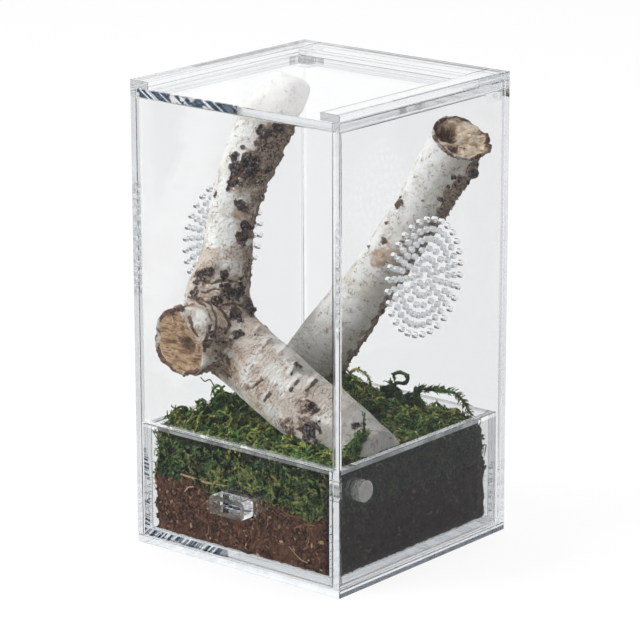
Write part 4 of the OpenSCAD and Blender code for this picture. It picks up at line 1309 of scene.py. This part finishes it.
rng = np.random.default_rng(77)
crumbs = shape_set("crumbs", [crumb(i) for i in range(8)])
fibres = shape_set("fibres", [
    strand(f"fibre_{i}", curl(rng, 4.5 + 4 * rng.random(), 7, 0.7, 0.25), 0.26, 0, rng) for i in range(6)
])
loose_crumbs = strewn("crumbs", soil_sides, crumbs, soil_material, 0.50e6, 5, (0.7, 2.4), 0.5)
loose_fibres = strewn("fibres", soil_sides, fibres, soil_material, 0.09e6, 9, (0.6, 1.2), 0.12)


def laid(name, path, width, tone, leaves=0, leaf_long=1.2, leaf_wide=0.5, sides=3):
    """One strand along a smooth line through these places, with this tone."""
    line = course([(*place, 1.0) for place in path], 1.0)[:, :3]
    mesh = strand(name, line, width, leaves, rng, leaf_long, leaf_wide, sides)
    write_mask(mesh, "tone", np.full(len(mesh.vertices), tone))
    return mesh


husks = [
    laid("husk_0", [(-29.3, -46.5, 30.9), (-14.7, -46.4, 30.3), (-4.7, -46.5, 31.0)], 1.3, 0.97),
    laid("husk_1", [(-27.4, -46.5, 24.1), (-25.4, -46.5, 26.4), (-22.8, -46.5, 27.1)], 0.7, 0.97),
    laid("husk_2", [(20.0, -46.5, 27.5), (25.0, -46.5, 26.2), (30.5, -46.5, 26.4)], 0.7, 0.75),
    laid("husk_3", [(24.0, -46.5, 14.0), (29.0, -46.5, 10.5), (33.0, -46.5, 9.5)], 0.5, 0.97),
    laid("husk_4", [(3.0, -46.5, 24.5), (4.4, -46.5, 22.0), (7.0, -46.5, 20.6)], 0.6, 0.97),
]
print("crumbs", len(loose_crumbs.polygons), "fibres", len(loose_fibres.polygons))


# %% Put the soil together
def joined(meshes):
    """One mesh of several, with the tone and painted top light of each point kept."""
    points, faces, tone, tip, base = [], [], [], [], 0
    for mesh in meshes:
        points.append(points_of(mesh))
        faces += [tuple(i + base for i in p.vertices) for p in mesh.polygons]
        base += len(mesh.vertices)
        for name, store, fallback in (("tone", tone, 0.2), ("tip", tip, 0.0)):
            values = np.full(len(mesh.vertices), fallback, np.float32)
            if name in mesh.attributes:
                mesh.attributes[name].data.foreach_get("value", values)
            store.append(values)
    return np.vstack(points), faces, np.concatenate(tone), np.concatenate(tip)


def settle(name, parts, low, high, material, smooth=False):
    """Joins the parts, holds every point inside the drawer's hollow, and makes the piece."""
    points, faces, tone, tip = joined(parts)
    mesh = as_mesh(name, np.clip(points, low, high), faces)
    write_mask(mesh, "tone", tone)
    write_mask(mesh, "tip", tip)
    if smooth:
        mesh.polygons.foreach_set("use_smooth", [True] * len(mesh.polygons))
    return add_piece(name, mesh, material)


soil = settle("coir_soil", [soil_core, loose_crumbs, loose_fibres, *husks],
              (-43.45, -46.85, 6.45), (43.45, 43.45, 36), soil_material)

# %% [markdown]
# ## Moss
# Dried forest moss is a heap of curled stems with tiny leaves, dark inside and bright where light
# falls on it. A dark core gives the heap its shape and stops the eye. Thousands of strands of a few
# dozen faces lie over it, and a handful of longer sprigs stand out where the eye falls.


# %% Moss finish
def moss_finish():
    material, tree, out = new_material("moss")
    at = put(tree, "ShaderNodeTexCoord").outputs["Object"]
    tone = put(tree, "ShaderNodeAttribute", attribute_name="tone").outputs["Fac"]
    tip = put(tree, "ShaderNodeAttribute", attribute_name="tip").outputs["Fac"]
    patch, grain = noise(tree, at, 0.009, 3.0), noise(tree, at, 0.0012, 3.0, 0.65)
    mixed = calc(tree, "ADD", tone, calc(tree, "MULTIPLY", calc(tree, "SUBTRACT", patch, 0.5), 1.6))
    high = between(tree, put(tree, "ShaderNodeAttribute", attribute_name="height").outputs["Fac"], -1.2, 2.2)
    colour = tint(tree, between(tree, mixed, 0.00, 0.40), (0.010, 0.050, 0.014), (0.050, 0.125, 0.018))
    colour = tint(tree, between(tree, mixed, 0.40, 0.66), colour, (0.170, 0.225, 0.030))
    colour = tint(tree, between(tree, mixed, 0.66, 0.88), colour, (0.34, 0.36, 0.075))
    colour = tint(tree, between(tree, mixed, 0.90, 1.00), colour, (0.30, 0.19, 0.065))
    colour = tint(tree, between(tree, mixed, 1.02, 1.10), colour, (0.20, 0.085, 0.030))
    blue = between(tree, noise(tree, at, 0.014, 2.0), 0.53, 0.60, 0, 0.6)
    colour = tint(tree, calc(tree, "MULTIPLY", blue, between(tree, mixed, 0.75, 0.5)), colour, (0.014, 0.105, 0.030))
    # Painted highlight: bright green on upper sides and leaf tips of strands that stand high out of the heap.
    painted_highlight = calc(tree, "MULTIPLY", calc(tree, "MULTIPLY", tip, tip), high)
    bright = tint(tree, between(tree, mixed, 0.30, 0.62), (0.19, 0.40, 0.085), (0.48, 0.56, 0.16))
    colour = tint(tree, calc(tree, "MULTIPLY", painted_highlight, 0.65), colour, bright)
    # Painted shade: dark patches for hollows in the heap, dark between the grains, and darker the deeper a point lies
    # below the heap's top.
    hollow = between(tree, noise(tree, at, 0.0046, 3.0, 0.5), 0.48, 0.39, 0, 0.78)
    colour = tint(tree, hollow, colour, (0.007, 0.016, 0.006))
    colour = tint(tree, between(tree, grain, 0.40, 0.56, 0.7, 0.0), colour, (0.008, 0.018, 0.007))
    colour = tint(tree, calc(tree, "SUBTRACT", 0.92, calc(tree, "MULTIPLY", high, 0.92)), colour, (0.007, 0.011, 0.005))
    # Painted shade: the moss below the rim, under about 46 mm, is darkened, and more so towards the right wall.
    where = put(tree, "ShaderNodeSeparateXYZ", {0: at}).outputs
    painted_low_shade = between(tree, where[2], 0.046, 0.043)
    colour = tint(tree, calc(tree, "MULTIPLY", painted_low_shade, 0.42), colour, (0.012, 0.020, 0.010))
    shaded = calc(tree, "MULTIPLY", between(tree, where[0], 0.0395, 0.0425, 0, 0.72), painted_low_shade)
    colour = tint(tree, shaded, colour, (0.010, 0.010, 0.009))
    relief = put(tree, "ShaderNodeBump", {"Height": grain, "Strength": 0.5, "Distance": 0.0003})
    rough = between(tree, grain, 0.3, 0.7, 0.75, 0.55)
    leaf = put(tree, "ShaderNodeBsdfPrincipled", {
        "Base Color": colour, "Roughness": rough, "Specular IOR Level": 0.5, "Normal": relief.outputs[0],
    })
    tree.links.new(leaf.outputs[0], out.inputs["Surface"])
    return material


moss_material = moss_finish()

# %% The heap's shape
tufts = [(-40.0, -37.5, 4.6, 4.6), (-36.0, -29.0, 4.4, 3.6), (-31.0, -21.0, 6.0, 8.0), (-19.5, -33.5, 5.6, 5.8),
         (-22.0, -16.5, 8.0, 6.0), (-37.5, -6.0, 5.2, 4.6), (-29, 4, 7, 5.0), (-24, 18, 8, 6.0), (-33, 27, 6, 4.0),
         (-17.2, 36.5, 6.5, 7.0), (-9.3, 34.5, 5, 5.0), (-1.2, 33.0, 4.2, 3.5), (6.5, 35.0, 4.0, 6.5),
         (15.0, 35.0, 4.4, 2.6), (24, 33, 5, 1.4), (32, 33, 4.6, 2.0), (38.5, 34, 3.6, 1.4), (8.5, 24.9, 6.4, 3.0),
         (24, 19, 6, 2.4), (30.2, 9.9, 6.2, 2.8), (39, 17.1, 4.2, 2.2), (38, -3, 6, 2.4), (39, -16, 5, 2.6),
         (16.8, -34.8, 6.2, 4.6), (0.3, -34.0, 7.0, 4.6), (27.4, -35.7, 6.2, 4.4), (38, -38, 5, 3.0),
         (-6, -41, 4.6, 3.0), (9, -42, 4.6, 2.4), (-28, -42, 4.6, 3.0), (-14, -42, 4.0, 2.0), (0, 2, 10, 2.6),
         (-8, 16, 8, 3.6)]


def moss_top(x, y, rough=True):
    """Height of the moss: tufts with steep sides, lower along the left and back walls."""
    flat = np.stack([x.ravel(), y.ravel(), 0 * x.ravel()], 1)
    wavy = 0.20 * lumps(flat, 3.6, 83)
    height = 46.0 + 0 * flat[:, 0]
    for hx, hy, wide, rise in tufts:
        far = np.hypot(flat[:, 0] - hx, flat[:, 1] - hy) / wide + wavy
        height = np.maximum(height, 46.0 + rise * (1 - smooth_step(far, 0.30, 1.15)))
    if rough:
        height += 1.9 * lumps(flat, 5.2, 81) + 1.0 * lumps(flat, 2.8, 82)
    at_left = np.where(flat[:, 1] > -33, 1.0, 0.25)
    full = 1 - at_left * (1 - smooth_step(flat[:, 0], -43.0, -37.5))
    full *= smooth_step(43.5 - flat[:, 1], 1.0, 6.0)
    return (44.5 + np.maximum(height - 44.5, 0) * full).reshape(x.shape)


low_points, low_faces = block(
    "moss", 43.1, -46.5, 43.1, lambda x, y: soil_line(x) - 0.6, lambda x, y: 43.9 + 0 * x, 1.3
)
low_points = draw_in(low_points, 43.1, -46.5, 43.1, 0.9)
low_points[:, :2] += 0.5 * np.stack([lumps(low_points, 1.8, s) for s in (64, 65)], 1)
low_core = as_mesh("moss_low_core", low_points, low_faces)
top_points, top_faces = block("moss", 43.1, -46.5, 43.1, lambda x, y: 44.1 + 0 * x, moss_top, 1.2)
top_points = draw_in(top_points, 43.1, -46.5, 43.1, 0.9)
top_points += 0.35 * np.stack([lumps(top_points, 2.0, s) for s in (66, 67, 68)], 1)
top_core = as_mesh("moss_top_core", top_points, top_faces)
low_sides = showing("moss_low_sides", low_points, low_faces, (-0.6, 0.6))
top_skin = showing("moss_top_skin", top_points, top_faces, (-0.6, 1.1))
print("moss top reaches", round(float(top_points[:, 2].max()), 1), "mm")


def height_over(points, top):
    """How far a point stands out of its core: above it on the heap, outward at the sides."""
    if top:
        return points[:, 2] - moss_top(points[:, 0], points[:, 1], False)
    left, front, right, back = gap_to_walls(points)
    out = np.stack([-43.1 + left + 0.9 - points[:, 0], -46.5 + front + 0.9 - points[:, 1],
                    points[:, 0] - 43.1 + right + 0.9, points[:, 1] - 43.1 + back + 0.9])
    return out.max(0) + 0.2

# %% Strands
rng = np.random.default_rng(4242)
def coil(rng, turns, wide, rise, count=10):
    """A path that winds in and stands up, as a drying moss stem does."""
    t = np.linspace(0, 1, count)
    angle = t * turns * 2 * np.pi + rng.random()
    radius = wide * (1 - 0.62 * t)
    path = np.stack([radius * np.cos(angle), radius * np.sin(angle) * 0.45, rise * t + 0.8 * radius * np.sin(angle)], 1)
    return path - path.mean(0) * (1, 1, 0)


strands = shape_set("moss_strands", [
    strand(f"rope_{i:02d}", curl(rng, 6 + 4 * rng.random(), 8, 2.3, 1.2), 1.15, 6, rng, 1.3, 0.8, 4, 0.22)
    for i in range(9)
] + [
    strand(f"coil_{i:02d}", coil(rng, 0.9 + 0.7 * rng.random(), 2.1 + 0.9 * rng.random(), 1.6), 1.05, 5, rng,
           1.2, 0.8, 4, 0.22)
    for i in range(8)
] + [
    strand(f"frond_{i:02d}", curl(rng, 6.5 + 4 * rng.random(), 7, 1.9, 0.9), 0.7, 9, rng, 2.0, 1.25)
    for i in range(6)
] + [
    strand(f"thread_{i:02d}", curl(rng, 9 + 6 * rng.random(), 9, 1.4, 0.8), 0.5, 2, rng, 1.0, 0.4)
    for i in range(3)
])

# %% Sprigs laid one by one
sprigs_left = [
    laid("thread_elbow_0", [(-42.5, -20, 60.3), (-40.4, -20, 59.0), (-37.8, -20, 60.2), (-35.5, -20, 57.6)], 0.6, 0.35),
    laid("thread_heap_0", [(-35.9, -20, 55.3), (-30.8, -20, 56.6), (-26.2, -20, 56.2), (-22, -21, 52)], 0.6, 0.02),
    laid("thread_heap_1", [(-36.5, -21, 54.0), (-33.0, -23, 58.2), (-28.0, -22, 56.5), (-25.0, -24, 52)], 0.6, 0.45),
    laid("curl_left_0", [(-43.0, -34, 48.0), (-41.5, -34, 51.6), (-38.0, -33, 52.0), (-37.4, -33, 49.6)], 1.1, 0.72, 8, 1.3, 0.8, 4),
    laid("curl_left_1", [(-38.2, -38, 49.0), (-40.5, -38, 51.0), (-39.5, -37, 52.4), (-37.0, -37, 51.4)], 1.0, 0.80, 7, 1.3, 0.8, 4),
    laid("curl_left_2", [(-36.6, -28, 49.0), (-36.6, -28, 53.5), (-34.8, -28, 54.6), (-33.6, -28, 52.6)], 1.1, 0.50, 8, 1.4, 0.9, 4),
    laid("curl_left_3", [(-35.0, -20, 53.5), (-36.2, -20, 56.6), (-33.2, -20, 58.6), (-30.4, -20, 56.6)], 1.2, 0.60, 8, 1.3, 0.8, 4),
    laid("curl_left_4", [(-24.0, -36, 50.0), (-22.4, -37, 52.6), (-19.0, -37, 52.9), (-17.2, -37, 50.6)], 1.2, 0.84, 8, 1.3, 0.8, 4),
    laid("curl_left_5", [(-22.0, -31, 51.0), (-21.0, -33, 53.5), (-18.4, -33, 53.6), (-16.6, -34, 51.4)], 1.2, 0.78, 8, 1.3, 0.8, 4),
]
sprigs_middle = [
    laid("curl_back", [(9.8, 30, 47), (10.3, 30, 50.2), (8.6, 30, 53), (10.8, 30, 56.4), (15.2, 30, 57.2), (16.4, 30, 60.2),
                       (12.7, 30, 61.0), (9.5, 30, 59.6), (10.2, 30, 57.6)], 1.6, 0.20, 44, 1.4, 1.0, 4),
    laid("curl_back_side", [(7.0, 31, 47), (6.0, 31, 51), (8.0, 31, 54.6), (6.8, 31, 56.6)], 1.7, 0.28, 30, 1.5, 1.0, 4),
    laid("arch_orange", [(-21.5, 38, 47), (-20.7, 38, 50.3), (-17.1, 38, 54.6), (-13.1, 38, 55.0), (-9.1, 38, 52.5),
                         (-7.5, 38, 48)], 1.1, 0.84, 40, 1.5, 0.9, 4),
    laid("loop_foot", [(-3.0, -36, 49), (-1.0, -38, 52), (3.0, -38, 51.4), (5.0, -37, 48)], 1.0, 0.66, 8, 1.3, 0.8, 4),
]
sprigs_right = [
    laid("arch_green", [(19.5, 31, 47), (21.5, 30, 55.4), (27.9, 30, 57.0), (33.6, 30, 58.1), (39.0, 31, 57.2),
                        (39.8, 35, 53.1), (42.6, 36, 48.6)], 1.3, 0.40, 190, 2.6, 0.9, 4),
    laid("arch_brown", [(17.0, 33, 48), (18.5, 32, 55.6), (21.0, 31, 54.0), (23.0, 30, 49.0)], 1.1, 0.70, 10, 1.5, 0.7, 4),
    laid("sprig_foot", [(42.9, -29, 47), (42.9, -28.2, 55.5), (42.8, -29.4, 60.7), (42.9, -28.8, 65.0)], 0.9, 0.30, 26, 1.6, 1.3, 4),
    laid("sprig_foot_0", [(42.6, -37, 48), (42.8, -35.6, 54.3), (42.4, -31.5, 57.0), (42.2, -28.5, 55.6)], 1.4, 0.36, 90, 2.2, 1.7, 4),
    laid("sprig_foot_1", [(42.6, -30, 48), (42.4, -32.3, 52.6), (42.0, -36.0, 53.8), (41.8, -38.5, 52.0)], 1.4, 0.46, 80, 2.2, 1.7, 4),
    laid("sprig_foot_2", [(42.6, -26, 48), (42.4, -24.7, 52.0), (42.0, -21.5, 54.2), (41.6, -18.5, 52.6)], 1.4, 0.38, 90, 2.2, 1.7, 4),
    laid("sprig_foot_3", [(42.0, -34, 48), (41.6, -31.0, 53.0), (41.4, -27.0, 56.0), (41.2, -23.5, 55.2)], 1.3, 0.42, 90, 2.1, 1.6, 4),
    laid("twig_foot", [(42.5, -26, 47.5), (38, -16, 50.5), (31, -9, 53.0)], 1.2, 1.0),
]
leaf_bits = [
    laid("leaf_bit_0", [(-40.6, -46.5, 45.0), (-39.8, -46.4, 43.8), (-39.2, -46.5, 42.2)], 1.8, 1.0, 4, 2.0, 1.2),
    laid("leaf_bit_1", [(1.0, -46.5, 44.2), (1.8, -46.4, 43.3), (2.8, -46.5, 42.9)], 1.5, 1.0, 4, 1.6, 1.0),
    laid("leaf_bit_2", [(22.4, -46.5, 34.6), (23.6, -46.4, 33.5), (24.6, -46.5, 31.6)], 2.2, 0.97, 8, 2.6, 1.5),
    laid("stem_front_0", [(-20, -46.5, 34), (-14, -46.4, 38.5), (-8, -46.5, 39.5), (-3, -46.5, 37)], 0.8, 0.82, 3),
    laid("stem_front_1", [(3, -46.5, 31), (10, -46.4, 34.0), (17, -46.5, 33.4)], 0.8, 0.84, 3),
    laid("stem_front_2", [(-36, -46.5, 36), (-30, -46.4, 40), (-24, -46.5, 42.5)], 0.8, 0.78, 3),
    laid("stem_front_3", [(26, -46.5, 38), (32, -46.4, 35), (37, -46.5, 30)], 0.8, 0.80, 3),
]
by_hand = {"moss_heap_left": sprigs_left, "moss_heap_middle": sprigs_middle, "moss_heap_right": sprigs_right,
           "moss_low_left": leaf_bits}
print("sprigs laid by hand", sum(len(group) for group in by_hand.values()))

beds = []
for name, core, density, seed, lean, band, floor_z, roof_z in (
    ("moss_low_left", low_sides, 0.42e6, 21, 0.25, (-1.0, 0.0), 25.0, 47.9),
    ("moss_low_right", low_sides, 0.42e6, 22, 0.25, (0.0, 1.0), 25.0, 47.9),
    ("moss_heap_left", top_skin, 0.42e6, 23, 0.75, (-1.0, -0.012), 42.0, 62.0),
    ("moss_heap_middle", top_skin, 0.42e6, 24, 0.75, (-0.012, 0.016), 42.0, 62.0),
    ("moss_heap_right", top_skin, 0.42e6, 25, 0.75, (0.016, 1.0), 42.0, 66.0),
):
    parts = [strewn(name, core, strands, moss_material, density, seed, (0.75, 1.35), lean, band)]
    parts += by_hand.get(name, [])
    # The cores lie deepest, so the finish paints them dark: a painted shade that fills the heap and stops the eye.
    if name == "moss_low_left":
        parts.append(low_core)
    if name == "moss_heap_left":
        parts.append(top_core)
    low = (-43.4, -46.8, floor_z)
    high = (43.4, 43.4, roof_z)
    bed = settle(name, parts, low, high, moss_material)
    # The height drives the moss's painted shade and painted highlight.
    write_mask(bed.data, "height", height_over(points_of(bed.data), "heap" in name))
    beds.append(bed)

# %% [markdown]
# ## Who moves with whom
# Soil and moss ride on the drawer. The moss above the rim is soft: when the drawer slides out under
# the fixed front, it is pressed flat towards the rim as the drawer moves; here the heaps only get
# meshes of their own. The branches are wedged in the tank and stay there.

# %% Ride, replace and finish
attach(bent, "tank")
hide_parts("bent_branch")
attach(straight, "tank")
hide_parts("straight_branch")
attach(soil, "drawer")
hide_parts("substrate")
for bed in beds:
    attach(bed, "drawer")
    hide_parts("moss_bed" if "low" in bed.name else "moss_heaps")
    if "heap" in bed.name:
        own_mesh(bed)
